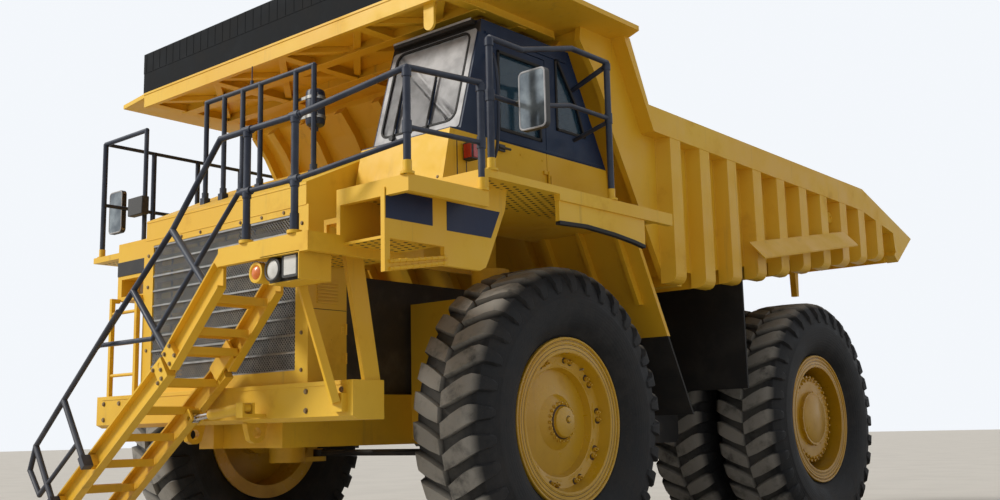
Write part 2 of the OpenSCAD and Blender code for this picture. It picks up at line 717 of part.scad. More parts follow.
module stair_cylinder() color(yellow) on_cylinder(0) {
    y_rod(cyl_pin_r - fit, 116);
    y_rod(cyl_eye_r, 60);
    rotate([0, -90, 0]) difference() {
        union() {
            translate([0, 0, 20]) cylinder(r = cyl_eye_r - 8, h = 60, $fn = round_fn);
            translate([0, 0, 66]) cylinder(r = cyl_r, h = cyl_len * 0.62 - 36, $fn = round_fn);
        }
        translate([0, 0, 90]) cylinder(r = cyl_rod_r + fit, h = cyl_len, $fn = round_fn);
    }
}

module stair_rod() color("silver") on_cylinder(1) difference() {
    union() {
        y_rod(cyl_eye_r, 60);
        rotate([0, 90, 0]) translate([0, 0, 30]) cylinder(r = cyl_rod_r, h = cyl_len - 150, $fn = round_fn);
    }
    y_rod(cyl_pin_r, 70);
}

// Lamps

module front_lamps() color("white") {
    box(1600, 2040, -2620, -2400, 2380, front_deck_z - 140);
    box(1570, 1600, -2560, -2460, 2450, 2530);
    for (l = [[1500, 2480, 78], [1700, 2480, 85]]) translate([l[0], -2530, l[1]]) rotate([90, 0, 0])
        cylinder(r = l[2], h = 130, $fn = round_fn);
    box(1810, 1980, -2650, -2619, 2410, 2575);
    for (x = [-1600, -1420]) translate([x, -1640, 2745]) rotate([90, 0, 0])
        difference() {
            translate([0, 0, -40]) cylinder(r = 75, h = 120, $fn = round_fn);
            translate([0, 0, 60]) cylinder(r = 65, h = 30, $fn = round_fn);
        }
}

// Cab

shield_foot = [-1250, 3715];                // foot and head of the leaning front, in Y and Z
shield_head = [-970, cab_top];
rear_foot = [765, 3690];
rear_head = [450, 4300];
cab_outline = [[-1480, cab_deck_z], [-1375, 3700], shield_foot, shield_head, [230, cab_top], rear_head,
    rear_foot, [800, cab_deck_z]];

// outline moved sideways by d at each corner, to the right of its run
function unit(v) = v / norm(v);
function side_of(a, b) = let (u = unit(b - a)) [u[1], -u[0]];
function corner(n, m) = (n + m) / (1 + n * m);
function inset(p, d) = [for (i = [0 : len(p) - 1]) let (k = len(p),
    n = side_of(p[(i + k - 1) % k], p[i]), m = side_of(p[i], p[(i + 1) % k])) p[i] + d * corner(n, m)];

door_y0 = -850;
door_y1 = -130;
door_z0 = cab_deck_z + 50;
door_z1 = 4560;
door_gap = 8;
hinge_out = 15;
windshield = [3810, 4610];                  // heights of the glass
function along(a, b, z) = a[0] + (z - a[1]) * (b[0] - a[0]) / (b[1] - a[1]);
function shield_y(z) = along(shield_foot, shield_head, z);
function rear_y(z) = along(rear_foot, rear_head, z);
quarter = [[30, 3950], [440, 3950], [330, 4220], [60, 4600], [30, 4600]];
inner_window = [-950, -100, 3800, 4520];
rear_window = [3800, 4220];

// floor, front, roof and back as one ring between the side walls
module cab_ring() difference() {
    side_on(cab_outline, cab_in + cab_wall + seat_gap, cab_out - cab_wall - seat_gap);
    side_on(inset(cab_outline, cab_wall), cab_in, cab_out);
    box(shield_x[0], shield_x[1], -1500, -900, windshield[0], windshield[1]);
    box(back_x[0], back_x[1], 250, 900, rear_window[0], rear_window[1]);
}

module ring_panel(y0, y1, z0, z1) intersection() {
    cab_ring();
    box(cab_in, cab_out, y0, y1, z0, z1);
}

module outer_wall() difference() {
    side_on(cab_outline, cab_out - cab_wall, cab_out);
    box(cab_out - cab_wall - 1, cab_out + 1, door_y0, door_y1, door_z0, door_z1);
    side_on(quarter, cab_out - cab_wall - 1, cab_out + 1);
}

module wall_panel(y0, y1, z0, z1) intersection() {
    outer_wall();
    box(cab_in, cab_out + 1, y0, y1, z0, z1);
}

// panels as they are cut and welded, with a thin seam between them
module cab_shell() color(dark) {
    floor_top = cab_deck_z + cab_wall;
    roof_low = cab_top - cab_wall;
    wall_low = floor_top + seat_gap;
    wall_high = roof_low - seat_gap;
    ring_panel(-1500, 900, cab_deck_z - 1, floor_top);
    ring_panel(-1100, 400, roof_low, cab_top + 1);
    ring_panel(0, 900, wall_low, wall_high);
    ring_panel(-1500, -800, wall_low, wall_high);
    wipers();
    difference() {
        side_on(cab_outline, cab_in, cab_in + cab_wall);
        box(cab_in - 1, cab_in + cab_wall + 1, inner_window[0], inner_window[1], inner_window[2],
            inner_window[3]);
    }
    wall_panel(-1500, 900, door_z1, cab_top + 1);
    wall_panel(-1500, door_y0, cab_deck_z - 1, door_z1 - seat_gap);
    wall_panel(door_y1, 900, cab_deck_z - 1, door_z1 - seat_gap);
    wall_panel(door_y0 + seat_gap, door_y1 - seat_gap, cab_deck_z - 1, door_z0 + 1);
    for (z = hinge_z) difference() {
        box(cab_out - 1, cab_out + hinge_out + 15, door_y1 + 5, door_y1 + 45, z - 40, z + 40);
        translate([cab_out + hinge_out, door_y1 + door_gap / 2, z - 41])
            cylinder(r = 18, h = 82, $fn = round_fn);
    }
    box(cab_in + cab_wall + 10, cab_out - cab_wall - 10, shield_head[0] - 70, shield_head[0] + 10,
        roof_low + 5, cab_top);
}

hinge_z = [3450, 4300];
shield_x = [cab_in + cab_wall + 10, cab_out - cab_wall - 10];
back_x = [cab_in + 150, cab_out - 150];

module wipers() for (x = [1500, 1900])
    bar([x, shield_y(3770) + 3, 3770], [x, shield_y(4230) - 16, 4230], 8);

// a pane d behind a leaning face that passes y_at(z), t thick
module pane(ys, zs, d, xs) side_on([for (q = [[0, d], [0, d + 10], [1, d + 10], [1, d]])
    [ys[q[0]] + q[1], zs[q[0]] + (1 - 2 * q[0]) * seat_gap]], xs[0] + seat_gap, xs[1] - seat_gap);

module cab_glass() color("lightblue") {
    pane([for (z = windshield) shield_y(z)], windshield, 15, shield_x);
    pane([for (z = rear_window) rear_y(z)], rear_window, -30, back_x);
    side_on(inset(quarter, -seat_gap), cab_out - 30, cab_out - 22);
    box(cab_in + 22, cab_in + 30, inner_window[0] + seat_gap, inner_window[1] - seat_gap,
        inner_window[2] + seat_gap, inner_window[3] - seat_gap);
}

door_window = [door_y0 + 80, door_y1 - 80, 3800, 4480];

module cab_door() color(dark) {
    difference() {
        box(cab_out - cab_wall, cab_out, door_y0 + door_gap, door_y1 - door_gap, door_z0 + door_gap, door_z1 - door_gap);
        box(cab_out - cab_wall - 1, cab_out + 1, door_window[0], door_window[1], door_window[2], door_window[3]);
    }
    for (z = hinge_z) {
        translate([cab_out + hinge_out, door_y1 + door_gap / 2, z - 80]) cylinder(r = 12, h = 160, $fn = round_fn);
        for (e = [-80, 50]) {
            box(cab_out - 1, cab_out + 4, door_y1 - 60, door_y1 - 2 * door_gap, z + e, z + e + 30);
            box(cab_out + 3, cab_out + hinge_out, door_y1 - 60, door_y1 + 10, z + e, z + e + 30);
        }
    }
}

module door_glass() color("lightblue") box(cab_out - 30, cab_out - 22, door_window[0], door_window[1],
    door_window[2], door_window[3]);

module driver_seat() color(black) translate([1765, -350, cab_deck_z + cab_wall]) {
    box(-180, 180, -180, 220, 0, 260);
    box(-260, 260, -260, 300, 260, 400);
    side_on([[240, 400], [380, 400], [480, 1100], [380, 1100]], -240, 240);
}

module steering_column() color(black) {
    bar([1765, -1150, cab_deck_z + cab_wall + 16], [1765, -880, 3850], 35);
    translate([1765, -872, 3870]) rotate([25, 0, 0]) {
        rotate_extrude($fn = 48) translate([210, 0]) circle(r = 14, $fn = 16);
        cylinder(r = 50, h = 30, center = true, $fn = 24);
        for (a = [0, 120, 240]) rotate([0, 0, a]) bar([0, 0, 0], [205, 0, 0], 9);
    }
}

// Mirrors on both sides

mirror_at = [3020, -1200, 3800];
mirror_size = [270, 50, 480];
mirror_round = 45;
mirror_arm_z = 3815;

// rounded plate: arc points round the four corners
function round_rect(w, h, r) = [for (c = [[1, 1, 0], [-1, 1, 90], [-1, -1, 180], [1, -1, 270]], a = [0 : 18 : 90])
    [c[0] * (w / 2 - r) + r * cos(c[2] + a), c[1] * (h / 2 - r) + r * sin(c[2] + a)]];

module mirrors() color(black) both_sides() {
    inner = mirror_at[0] - mirror_size[0] / 2;
    translate([mirror_at[0], 0, mirror_at[2]]) front_on(round_rect(mirror_size[0], mirror_size[2], mirror_round),
        mirror_at[1] - mirror_size[1] / 2, mirror_at[1] + mirror_size[1] / 2);
    bar([rail_out + tube_r - 4 + seat_gap, mirror_at[1], mirror_arm_z], [inner + 1, mirror_at[1], mirror_arm_z], 12);
}

// Handrails

rail_out = 2820;

module rails() color(dark) {
    stair_rails();
    left_rails();
    right_rails();
    hood_rails();
}

// rails on the upper flight and the front deck, from their loop at the hinge
top_run = [[-700, 2085], [400, 2950], [1040, 3590], [2020, 3590]];
mid_run = [[-700, 2085], [150, 2085], [1280, 3113], [2020, 3113]];
rail_y = 25 - stair_y;

module stair_rails() {
    tube(concat([for (p = top_run) [p[0], rail_y, p[1]]], [[rail_out, -2380, 3826], [rail_out, -1600, 3890]]));
    tube(concat([for (p = mid_run) [p[0], rail_y, p[1]]], [[rail_out, -2380, 3300]]), tube_r - 4);
    translate([top_run[0][0], rail_y, top_run[0][1]]) sphere(r = tube_r + 3, $fn = 24);
    for (x = [1390, 1960]) bar([x, rail_y, front_deck_z], [x, rail_y, 3590], tube_r + 4);
    for (p = [[120, 786], [829, 714]]) let (foot = in_truck([p[0], stringer_d / 2 - pin_v + seat_gap], up_angle),
        top = in_truck(p, up_angle)) bar([foot[0], rail_y, foot[1]], [top[0], rail_y, top[1]], tube_r + 4);
}

module left_rails() {
    for (p = [[-2380, platform_z, 3826], [-1600, platform_z, 3890], [-1490, cab_deck_z, 4278],
        [80, cab_deck_z, 4460]])
        bar([rail_out, p[0], p[1]], [rail_out, p[0], p[2]], tube_r + 4);
    bar([rail_out, -2380, 3390], [rail_out, -1600, 3420], tube_r - 4);
    tube([[rail_out, -1490, 4278], [rail_out, -1100, 4278], [rail_out, -430, 4460], [rail_out, 80, 4460],
        [rail_out - 100, 180, 4460], [2360, 180, 4330]]);
    tube([[rail_out, -1490, mirror_arm_z], [rail_out, -1100, mirror_arm_z], [rail_out, -480, 3950],
        [rail_out, 80, 3950], [rail_out - 100, 180, 3950], [2360, 180, 3860]], tube_r - 4);
}

module right_rails() {
    for (p = [[-1480, 4500], [-880, 4500], [-300, 4500], [300, 4500], [900, 4500]])
        bar([-rail_out, p[0], cab_deck_z], [-rail_out, p[0], p[1]], tube_r + 4);
    for (z = [mirror_arm_z, 4500]) bar([-rail_out, -1480, z], [-rail_out, 900, z], tube_r - 4);
    tube([[-rail_out, -1480, 4500], [-2000, -1480, 4500], [-2000, -1480, cab_deck_z]]);
}

hood_frames = [[-740, -450], [-160, 110], [620, 870]];

hood_rail_y = -1600;

module hood_rails() for (f = hood_frames) {
    foot = hood_slope(hood_rail_y);
    tube([[f[0], hood_rail_y, foot + 25], [f[0], hood_rail_y, 4500], [f[1], hood_rail_y, 4500],
        [f[1], hood_rail_y, foot + 25]]);
    for (x = f) side_on([for (q = [[-34, 0], [34, 0], [34, 50], [-34, 50]])
        [hood_rail_y + q[0], q[1] > 0 ? foot + q[1] : hood_slope(hood_rail_y + q[0]) + seat_gap]], x - 34, x + 34);
}

// Bed

side_in = bed_x - side_t;
skin_back = 100;                            // depth of the ribs on the front wall
front_profile = [[1450, 2700], [660, 4030], [550, 4320], [390, 4580], [200, 4800]];

// the front wall's profile moved back by d
function moved_back(d) = [for (i = [0 : 4]) let (p = front_profile,
    n = i > 0 ? side_of(p[i - 1], p[i]) : side_of(p[0], p[1]),
    m = i < 4 ? side_of(p[i], p[i + 1]) : n) p[i] + d * corner(n, m)];
wall_out = moved_back(skin_back);
wall_in = moved_back(skin_back + 50);
function wall_y(z) = lookup(z, [for (q = wall_in) [q[1], q[0]]]);

rib_places = [for (i = [0 : 9]) rib_y0 + i * rib_pitch];
tail_beam = [7000, 7150];

// beam across under the floor, let 1 mm into its plate between the side plates
module floor_strip(y0, y1, down) for (e = [[-seat_gap, bed_x], [1, side_in]])
    side_on([[y0, floor_at(y0) - down], [y1, floor_at(y1) - down], [y1, floor_at(y1) + e[0]],
        [y0, floor_at(y0) + e[0]]], -e[1], e[1]);

floor_seam = floor_y - 30;                  // where the flat and the rising plate meet
function under_ribs(y) = floor_at(y) - beam_d - seat_gap;

module floor_plates() {
    side_on([[wall_y(floor_z), floor_z], [floor_seam, floor_z], [floor_seam, floor_z + floor_t],
        [wall_y(floor_z + floor_t), floor_z + floor_t]], -side_in, side_in);
    side_on([[floor_seam + seat_gap, floor_z], [floor_y, floor_z], [tail_y, floor_at(tail_y)],
        [tail_y, floor_at(tail_y) + floor_t], [floor_y, floor_z + floor_t],
        [floor_seam + seat_gap, floor_z + floor_t]], -side_in, side_in);
}

// long beam that rests on the frame, cheek on the pivot and lugs of the hoist, all under the ribs
module under_floor() {
    side_on([[2150, frame_top_at(2150) + 6], [pivot_y - 60, frame_top_at(pivot_y - 60) + 6],
        [pivot_y - 60, under_ribs(pivot_y - 60)], [2150, under_ribs(2150)]], 380, 530);
    difference() {
        side_on([[pivot_y - 450, under_ribs(pivot_y - 450)], [pivot_y + 450, under_ribs(pivot_y + 450)],
            [pivot_y + 130, pivot_z - 40], [pivot_y + 80, pivot_z - 120], [pivot_y - 80, pivot_z - 120],
            [pivot_y - 130, pivot_z - 40]], rail_x + 6, rail_x + 86);
        x_rod(rail_x, rail_x + 100, pivot_y, pivot_z, pivot_pin_r + fit);
    }
    for (x = [640, 890]) side_on([[2700, under_ribs(2700)], [3300, under_ribs(3300)], [3180, 2560],
        [2860, 2560]], x, x + 30);
    side_on([[5960, under_ribs(5960)], [6060, under_ribs(6060)], [6040, 2960], [5980, 2960]], 1560, 1640);
}

module bed_floor() color(yellow) {
    floor_plates();
    for (y = rib_places) if (y > 1700) floor_strip(y, y + rib_w, beam_d);
    floor_strip(1600, 1760, beam_d);
    floor_strip(tail_beam[0], tail_beam[1], 230);
    both_sides() under_floor();
}

side_outline = concat(front_profile, [[220, canopy_z], [800, canopy_z], [1080, 4340], [6060, 4270], [tail_y, 3800],
    [tail_y, floor_at(tail_y)], [floor_y, floor_z], [1500, floor_z]]);

rail_outline = [[800, canopy_z], [1080, 4340], [6060, 4270], [tail_y, 3800], [7100, 3420], [6990, 3500],
    [7260, 3760], [6000, 3980], [1150, 4090], [700, canopy_z]];

module bed_sides() color(yellow) both_sides() {
    side_on(side_outline, side_in, bed_x);
    side_on(rail_outline, bed_x, bed_x + rib_d);
    for (y = rib_places) side_rib(y);
    side_on([[tail_y, 3800], [7100, 3420], [7030, 3600], [7000, floor_at(7000) + 200], [7260, 3770]], bed_x, bed_x + rib_d);
    ledge();
    bosses();
}

rib_flank = 40;
foot_round = 90;                            // radius of the ribs' feet
function rail_low(y) = 4090 - (y - 1150) * 110 / 4850;

module side_rib(y) intersection() {
    low = floor_at(y) - beam_d;
    high = rail_low(y) + 5;
    translate([0, 0, low]) linear_extrude(high - low)
        polygon([[bed_x, y - rib_flank], [bed_x + rib_d, y], [bed_x + rib_d, y + rib_w],
            [bed_x, y + rib_w + rib_flank]]);
    front_on(concat([[bed_x - 1, high + 1], [bed_x - 1, low - 1], [bed_x + rib_d - foot_round, low - 1]],
        [for (a = [-80 : 20 : 0]) [bed_x + rib_d + 1 + foot_round * (cos(a) - 1), low + foot_round * (1 + sin(a))]],
        [[bed_x + rib_d + 1, high + 1]]), y - rib_flank - 1, y + rib_w + rib_flank + 1);
}

// sloping ledge over the rear tyres, in a frame that follows the floor's rise
ledge_at = [2930, 3215];                    // front end of its upper edge, in Y and Z
ledge_len = 2500;
ledge_out = 150;
ledge_drop = 200;
ledge_t = 14;

module ledge() translate([bed_x + rib_d, ledge_at[0], ledge_at[1]]) rotate([atan(floor_rise), 0, 0]) {
    front_on([[-1, 0], [-1, -ledge_t], [ledge_out, -ledge_drop], [ledge_out + 6, -ledge_drop + ledge_t]], 0, ledge_len);
    for (i = [1 : 3]) front_on([[-1, -1], [-1, -ledge_drop], [ledge_out, -ledge_drop + 1]],
        i * rib_pitch + 60, i * rib_pitch + 75);
}

module bosses() for (b = [[3175, 3195], [5240, 3800]])
    x_rod(bed_x - 1, bed_x + 45, b[0], b[1], 70);

module bed_front() color(yellow) {
    side_on(concat(wall_out, [[wall_out[4][0], canopy_z], [wall_in[4][0], canopy_z]],
        [for (i = [4 : -1 : 0]) wall_in[i]]), -side_in, side_in);
    for (x = [-2100 : 600 : 2100]) side_on(concat(front_profile, [[wall_out[4][0], 4880]],
        [for (i = [4 : -1 : 0]) wall_out[i]]), x - 60, x + 60);
}

finger_x = 2020;                            // strap that hangs from the canopy
finger_r = 58;

module canopy() color(yellow) {
    translate([0, 0, canopy_z]) linear_extrude(45) both_sides() polygon([[0, -canopy_y], [2240, -canopy_y],
        [canopy_x, 70 - canopy_y], [canopy_x, 690], [bed_x, 860], [0, 860]]);
    box(-2240, 2240, -canopy_y, 50 - canopy_y, canopy_z - 110, canopy_z);
    for (y = [-900, -350]) box(-2200, 2200, y, y + 60, canopy_z - 90, canopy_z);
    for (x = [-2200, -1100, 0, 1100, 2150]) box(x, x + 50, -canopy_y + 49, 150, canopy_z - 80, canopy_z);
    box(-2250, 2250, -canopy_y, 25 - canopy_y, canopy_z + 45, canopy_z + 45 + rim_plate_h);
    front_on(concat([[finger_x - finger_r, canopy_z - 80]], [for (a = [180 : 20 : 360])
        [finger_x + finger_r * cos(a), 4650 + finger_r * sin(a)]], [[finger_x + finger_r, canopy_z - 80]]),
        50 - canopy_y, 75 - canopy_y);
}

// Rubber flaps

flap_t = 25;

module fender_flaps() color(black) both_sides()
    side_on([[1495, 2150], [1495 + flap_t, 2150], [1891 + flap_t, 1400], [1891, 1400]], 1300, 2430);

module bed_flaps() color(black) both_sides()
    side_on([[2990, 1670], [2990 + flap_t, 1670], [2990 + flap_t, floor_at(2990 + flap_t)], [2990, floor_at(2990)]], 1000, bed_x);

module in_place() translate([0, origin_shift, 0]) children();

in_place() frame();
in_place() front_bumper();
in_place() radiator_guard();
in_place() grille();
in_place() hood();
in_place() engine();
in_place() gearbox();
in_place() struts();
in_place() left_knuckle();
in_place() right_knuckle();
in_place() tie_rod();
in_place() left_front_rim();
in_place() left_front_tyre();
in_place() right_front_rim();
in_place() right_front_tyre();
in_place() rear_axle();
in_place() left_rear_rims();
in_place() left_rear_tyres();
in_place() right_rear_rims();
in_place() right_rear_tyres();
in_place() side_tanks();
in_place() left_decks();
in_place() right_decks();
in_place() fender_flaps();
in_place() upper_stairs();
in_place() lower_stairs();
in_place() stair_cylinder();
in_place() stair_rod();
in_place() front_lamps();
in_place() cab_shell();
in_place() cab_glass();
in_place() cab_door();
in_place() door_glass();
in_place() driver_seat();
in_place() steering_column();
in_place() mirrors();
in_place() rails();
in_place() bed_floor();
in_place() bed_sides();
in_place() bed_front();
in_place() canopy();
in_place() bed_flaps();
in_place() hoist_barrels();
in_place() hoist_stages();
in_place() hoist_rods();
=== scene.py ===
import math
from itertools import product

import bmesh
import bpy
from mathutils import Matrix, Vector


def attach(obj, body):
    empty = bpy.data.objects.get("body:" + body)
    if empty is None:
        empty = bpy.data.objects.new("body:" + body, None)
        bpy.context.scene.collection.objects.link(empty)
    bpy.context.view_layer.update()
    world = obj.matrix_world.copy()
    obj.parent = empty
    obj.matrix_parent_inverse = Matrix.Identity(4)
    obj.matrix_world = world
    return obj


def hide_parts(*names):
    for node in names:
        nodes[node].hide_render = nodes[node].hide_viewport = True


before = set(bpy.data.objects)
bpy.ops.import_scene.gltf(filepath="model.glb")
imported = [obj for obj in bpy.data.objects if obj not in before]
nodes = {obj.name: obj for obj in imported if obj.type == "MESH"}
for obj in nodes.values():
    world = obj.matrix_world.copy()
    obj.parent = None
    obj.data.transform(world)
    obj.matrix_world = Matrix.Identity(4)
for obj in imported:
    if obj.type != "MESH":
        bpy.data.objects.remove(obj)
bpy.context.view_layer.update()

# Mining dump truck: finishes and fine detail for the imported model.
# Places are in metres from the ground below the middle of the front axle, as in the part's source,
# and every finished piece is moved by toOrigin into the model's own frame.
toOrigin = Vector((0, -2.425, 0))
wheelbase = 4.57
axleHeight = 1.345
forward, outward, upward = (0, -1, 0), (1, 0, 0), (0, 0, 1)

scene = bpy.context.scene
scene.view_settings.view_transform = "Standard"
print("frame loaded:", len(nodes), "nodes")


# finishes

class Wire:     # a value in a node tree: sums and products of wires add Math nodes
    def __init__(self, owner, socket):
        self.owner, self.socket = owner, socket

    def maths(self, operation, first, second):
        return self.owner.node("ShaderNodeMath", {"operation": operation}, {0: first, 1: second})

    def __add__(self, other):
        return self.maths("ADD", self, other)

    __radd__ = __add__

    def __sub__(self, other):
        return self.maths("SUBTRACT", self, other)

    def __rsub__(self, other):
        return self.maths("SUBTRACT", other, self)

    def __mul__(self, other):
        return self.maths("MULTIPLY", self, other)

    def __pow__(self, other):
        return self.maths("POWER", self, other)

    def __gt__(self, other):
        return self.maths("GREATER_THAN", self, other)

    def __lt__(self, other):
        return self.maths("LESS_THAN", self, other)

    def fromTo(self, low, high):    # eased step, 0 at the first value and 1 at the second
        return self.owner.node("ShaderNodeMapRange", {"interpolation_type": "SMOOTHSTEP"},
                               {"Value": self, "From Min": low, "From Max": high})


class Nodes:    # a node tree and the ways to fill it
    def __init__(self, tree):
        self.tree = tree

    def node(self, kind, settings=None, values=None, output=0):
        made = self.tree.nodes.new(kind)
        for words, value in (settings or {}).items():
            setattr(made, words, value)
        for words, value in (values or {}).items():
            self.join(made.inputs[words], value)
        return Wire(self, made.outputs[output])

    def join(self, socket, value):
        if isinstance(value, Wire):
            self.tree.links.new(value.socket, socket)
        elif socket.type == "RGBA":
            socket.default_value = (*value, 1)
        else:
            socket.default_value = value


class Finish(Nodes):    # one material on the Principled shader
    def __init__(self, name, **fixed):
        self.material = bpy.data.materials.new(name)
        self.material.use_nodes = True
        super().__init__(self.material.node_tree)
        self.shader = self.tree.nodes["Principled BSDF"]
        for words, value in fixed.items():
            self.drive(socketNames[words], value)

    def drive(self, socket, value):
        self.join(self.shader.inputs[socket], value)

    def colour(self):    # the colour built so far
        return Wire(self, self.shader.inputs["Base Color"].links[0].from_socket)

    def place(self, scale=(1, 1, 1), move=(0, 0, 0)):
        spot = self.node("ShaderNodeTexCoord", output="Object")
        return self.node("ShaderNodeMapping", None, {"Vector": spot, "Location": move, "Scale": scale})

    def axis(self, letter, move=(0, 0, 0)):
        return self.node("ShaderNodeSeparateXYZ", None, {0: self.place(move=move)}, output=letter)

    def facing(self):    # how far a face looks upward
        side = self.node("ShaderNodeTexCoord", output="Normal")
        return self.node("ShaderNodeSeparateXYZ", None, {0: side}, output="Z")

    def noise(self, scale, detail=4.0, rough=0.55, stretch=(1, 1, 1), warp=0.0, move=(0, 0, 0)):
        values = {"Vector": self.place(stretch, move), "Scale": scale, "Detail": detail, "Roughness": rough,
                  "Distortion": warp}
        return self.node("ShaderNodeTexNoise", None, values)

    def blend(self, share, first, second):
        return self.node("ShaderNodeMix", {"data_type": "RGBA"}, {0: share, 6: first, 7: second}, output=2)

    def relief(self, height, strength, depth):
        values = {"Strength": strength, "Distance": depth, "Height": height}
        self.drive("Normal", self.node("ShaderNodeBump", None, values))


socketNames = {"rough": "Roughness", "metal": "Metallic", "ior": "IOR", "coat": "Coat Weight",
               "spec": "Specular IOR Level"}

# where a finish changes, in the model's own frame: places along Y, and heights
changeAt = {"windshield": (-3.36, -3.40), "header": (-3.395, -3.405), "headerLow": 4.60, "sill": 3.69,
            "stairRail": -5.128}

# the paint on most of the truck and what has happened to it
paintLook = {"fresh": (0.76, 0.440, 0.018), "faded": (0.80, 0.505, 0.032), "deep": (0.55, 0.260, 0.008),
             "dirt": (0.20, 0.120, 0.045), "rust": (0.19, 0.065, 0.018), "dust": (0.56, 0.39, 0.14)}


def paintFinish(name, look=paintLook, grime=1.0, rough=0.42):
    f = Finish(name)
    broad = f.noise(0.55, 3, warp=0.4)
    cloud = f.noise(2.6, 6, 0.62)
    speck = f.noise(38, 5, 0.7)
    runs = f.noise(3.2, 7, 0.65, stretch=(2.2, 2.2, 0.16))
    colour = f.blend(broad.fromTo(0.35, 0.68), look["fresh"], look["faded"])
    colour = f.blend(cloud.fromTo(0.56, 0.78) * 0.55, colour, look["deep"])
    colour = f.blend(runs.fromTo(0.58, 0.80) * (0.42 * grime), colour, look["dirt"])
    low = f.axis("Z").fromTo(1.9, 0.5)
    colour = f.blend((low * cloud.fromTo(0.30, 0.72)) * (0.42 * grime), colour, look["dirt"])
    top = f.facing().fromTo(0.35, 0.95) * cloud.fromTo(0.30, 0.66)
    colour = f.blend(top * (0.36 * grime), colour, look["dust"])
    chips = speck.fromTo(0.69, 0.73) * f.noise(1.9, 3, move=(3, 1, 7)).fromTo(0.50, 0.66)
    colour = f.blend(chips * (0.85 * grime), colour, look["rust"])
    f.drive("Base Color", colour)
    f.drive("Roughness", rough + (cloud.fromTo(0.3, 0.8) * 0.22) + (chips * 0.25) + (top * 0.15))
    f.relief(f.noise(7, 3) * 0.5 + speck * 0.12 - chips * 0.5, 0.16, 0.006)
    return f


rimPaintLook = {"fresh": (0.53, 0.285, 0.006), "faded": (0.60, 0.355, 0.014), "deep": (0.38, 0.165, 0.004),
                "dirt": (0.15, 0.085, 0.02), "rust": (0.18, 0.06, 0.015), "dust": (0.42, 0.29, 0.10)}


def darkFinish(name, base, worn, rough=0.45, dusty=0.5, metal=0.0, spec=0.30):
    f = Finish(name, metal=metal, spec=spec)
    cloud = f.noise(3.1, 6, 0.6)
    speck = f.noise(46, 5, 0.7)
    colour = f.blend(cloud.fromTo(0.40, 0.75), base, worn)
    top = f.facing().fromTo(0.25, 0.95) * cloud.fromTo(0.30, 0.65)
    colour = f.blend(top * dusty, colour, (0.22, 0.19, 0.15))
    colour = f.blend(speck.fromTo(0.62, 0.68) * 0.5, colour, worn)
    f.drive("Base Color", colour)
    f.drive("Roughness", rough + cloud.fromTo(0.3, 0.8) * 0.2)
    f.relief(speck * 0.4 + f.noise(9, 3), 0.15, 0.004)
    return f


def tyreFinish(name, axleY):     # rings of dust and scuffs follow the distance from the axle; the pale tread is dust and also painted sunlight
    f = Finish(name, spec=0.22)
    y = f.axis("Y", (0, -axleY, 0))
    z = f.axis("Z", (0, 0, -axleHeight))
    away = (y * y + z * z) ** 0.5
    cloud = f.noise(4.2, 6, 0.65)
    fine = f.noise(60, 6, 0.7)
    rings = f.node("ShaderNodeMath", {"operation": "SINE"}, {0: away * 210.0})
    colour = f.blend(cloud.fromTo(0.35, 0.72), (0.012, 0.013, 0.015), (0.034, 0.034, 0.036))
    # pale dust on the tread, made paler and thicker than the dust alone as painted sunlight
    tread = away.fromTo(1.262, 1.335)
    colour = f.blend(tread * cloud.fromTo(0.18, 0.55) * 0.90, colour, (0.310, 0.300, 0.280))
    colour = f.blend(fine.fromTo(0.60, 0.76) * (0.25 + tread * 0.4), colour, (0.17, 0.15, 0.125))
    mud = f.axis("Z").fromTo(0.55, 0.02) * cloud.fromTo(0.35, 0.65)
    colour = f.blend(mud * 0.55, colour, (0.16, 0.12, 0.08))
    f.drive("Base Color", colour)
    f.drive("Roughness", 0.62 + cloud.fromTo(0.3, 0.8) * 0.25)
    f.relief(fine * 0.6 + cloud + rings * away.fromTo(1.16, 1.10) * 0.10, 0.35, 0.008)
    return f


def plainFinish(name, colour, second, rough=0.5, metal=0.0, scale=12, bump=0.15, **more):
    f = Finish(name, metal=metal, **more)
    cloud = f.noise(scale, 5, 0.6)
    f.drive("Base Color", f.blend(cloud.fromTo(0.35, 0.7), colour, second))
    f.drive("Roughness", rough + cloud.fromTo(0.3, 0.8) * 0.15)
    f.relief(f.noise(scale * 5, 4), bump, 0.003)
    return f


def glassFinish(name, side, front):     # side panes look dark; the leaning windshield's pale colours are a painted reflection of the sky, with darker streaks in it
    f = Finish(name, ior=1.45)
    smear = f.noise(3.5, 6, 0.7, stretch=(1, 1, 0.5))
    streak = f.noise(5.0, 5, 0.6, stretch=(2.4, 1, 0.22), warp=0.3)
    shield = f.axis("Y").fromTo(*changeAt["windshield"])
    # the windshield's colour is a painted reflection of the sky: pale blue-white, with darker streaks
    sky = f.blend(streak.fromTo(0.42, 0.66), front, (0.56, 0.66, 0.74))
    f.drive("Base Color", f.blend(shield, side, sky))
    f.drive("Roughness", smear.fromTo(0.45, 0.8) * 0.12 + 0.03 + shield * 0.20)
    f.drive("Metallic", shield * 0.50)
    pane = smear.fromTo(0.40, 0.85) * 0.14 + 0.62
    f.drive("Alpha", pane * (1 - shield) + shield * (0.92 + smear * 0.06))
    return f


def cabFinish(name):      # yellow below the sill, dark blue above it, nearly black over the windshield
    f = paintFinish(name, grime=0.6)
    f.drive("Specular IOR Level", 0.24)
    yellow = f.colour()
    cloud = f.noise(2.2, 5)
    blue = f.blend(cloud.fromTo(0.35, 0.7), (0.002, 0.012, 0.042), (0.006, 0.021, 0.062))
    blue = f.blend(f.facing().fromTo(0.4, 0.95) * 0.4, blue, (0.20, 0.18, 0.15))
    header = f.axis("Y").fromTo(*changeAt["header"]) * (f.axis("Z") > changeAt["headerLow"])
    blue = f.blend(header, blue, (0.022, 0.019, 0.017))
    f.drive("Base Color", f.blend(f.axis("Z") > changeAt["sill"], yellow, blue))
    return f


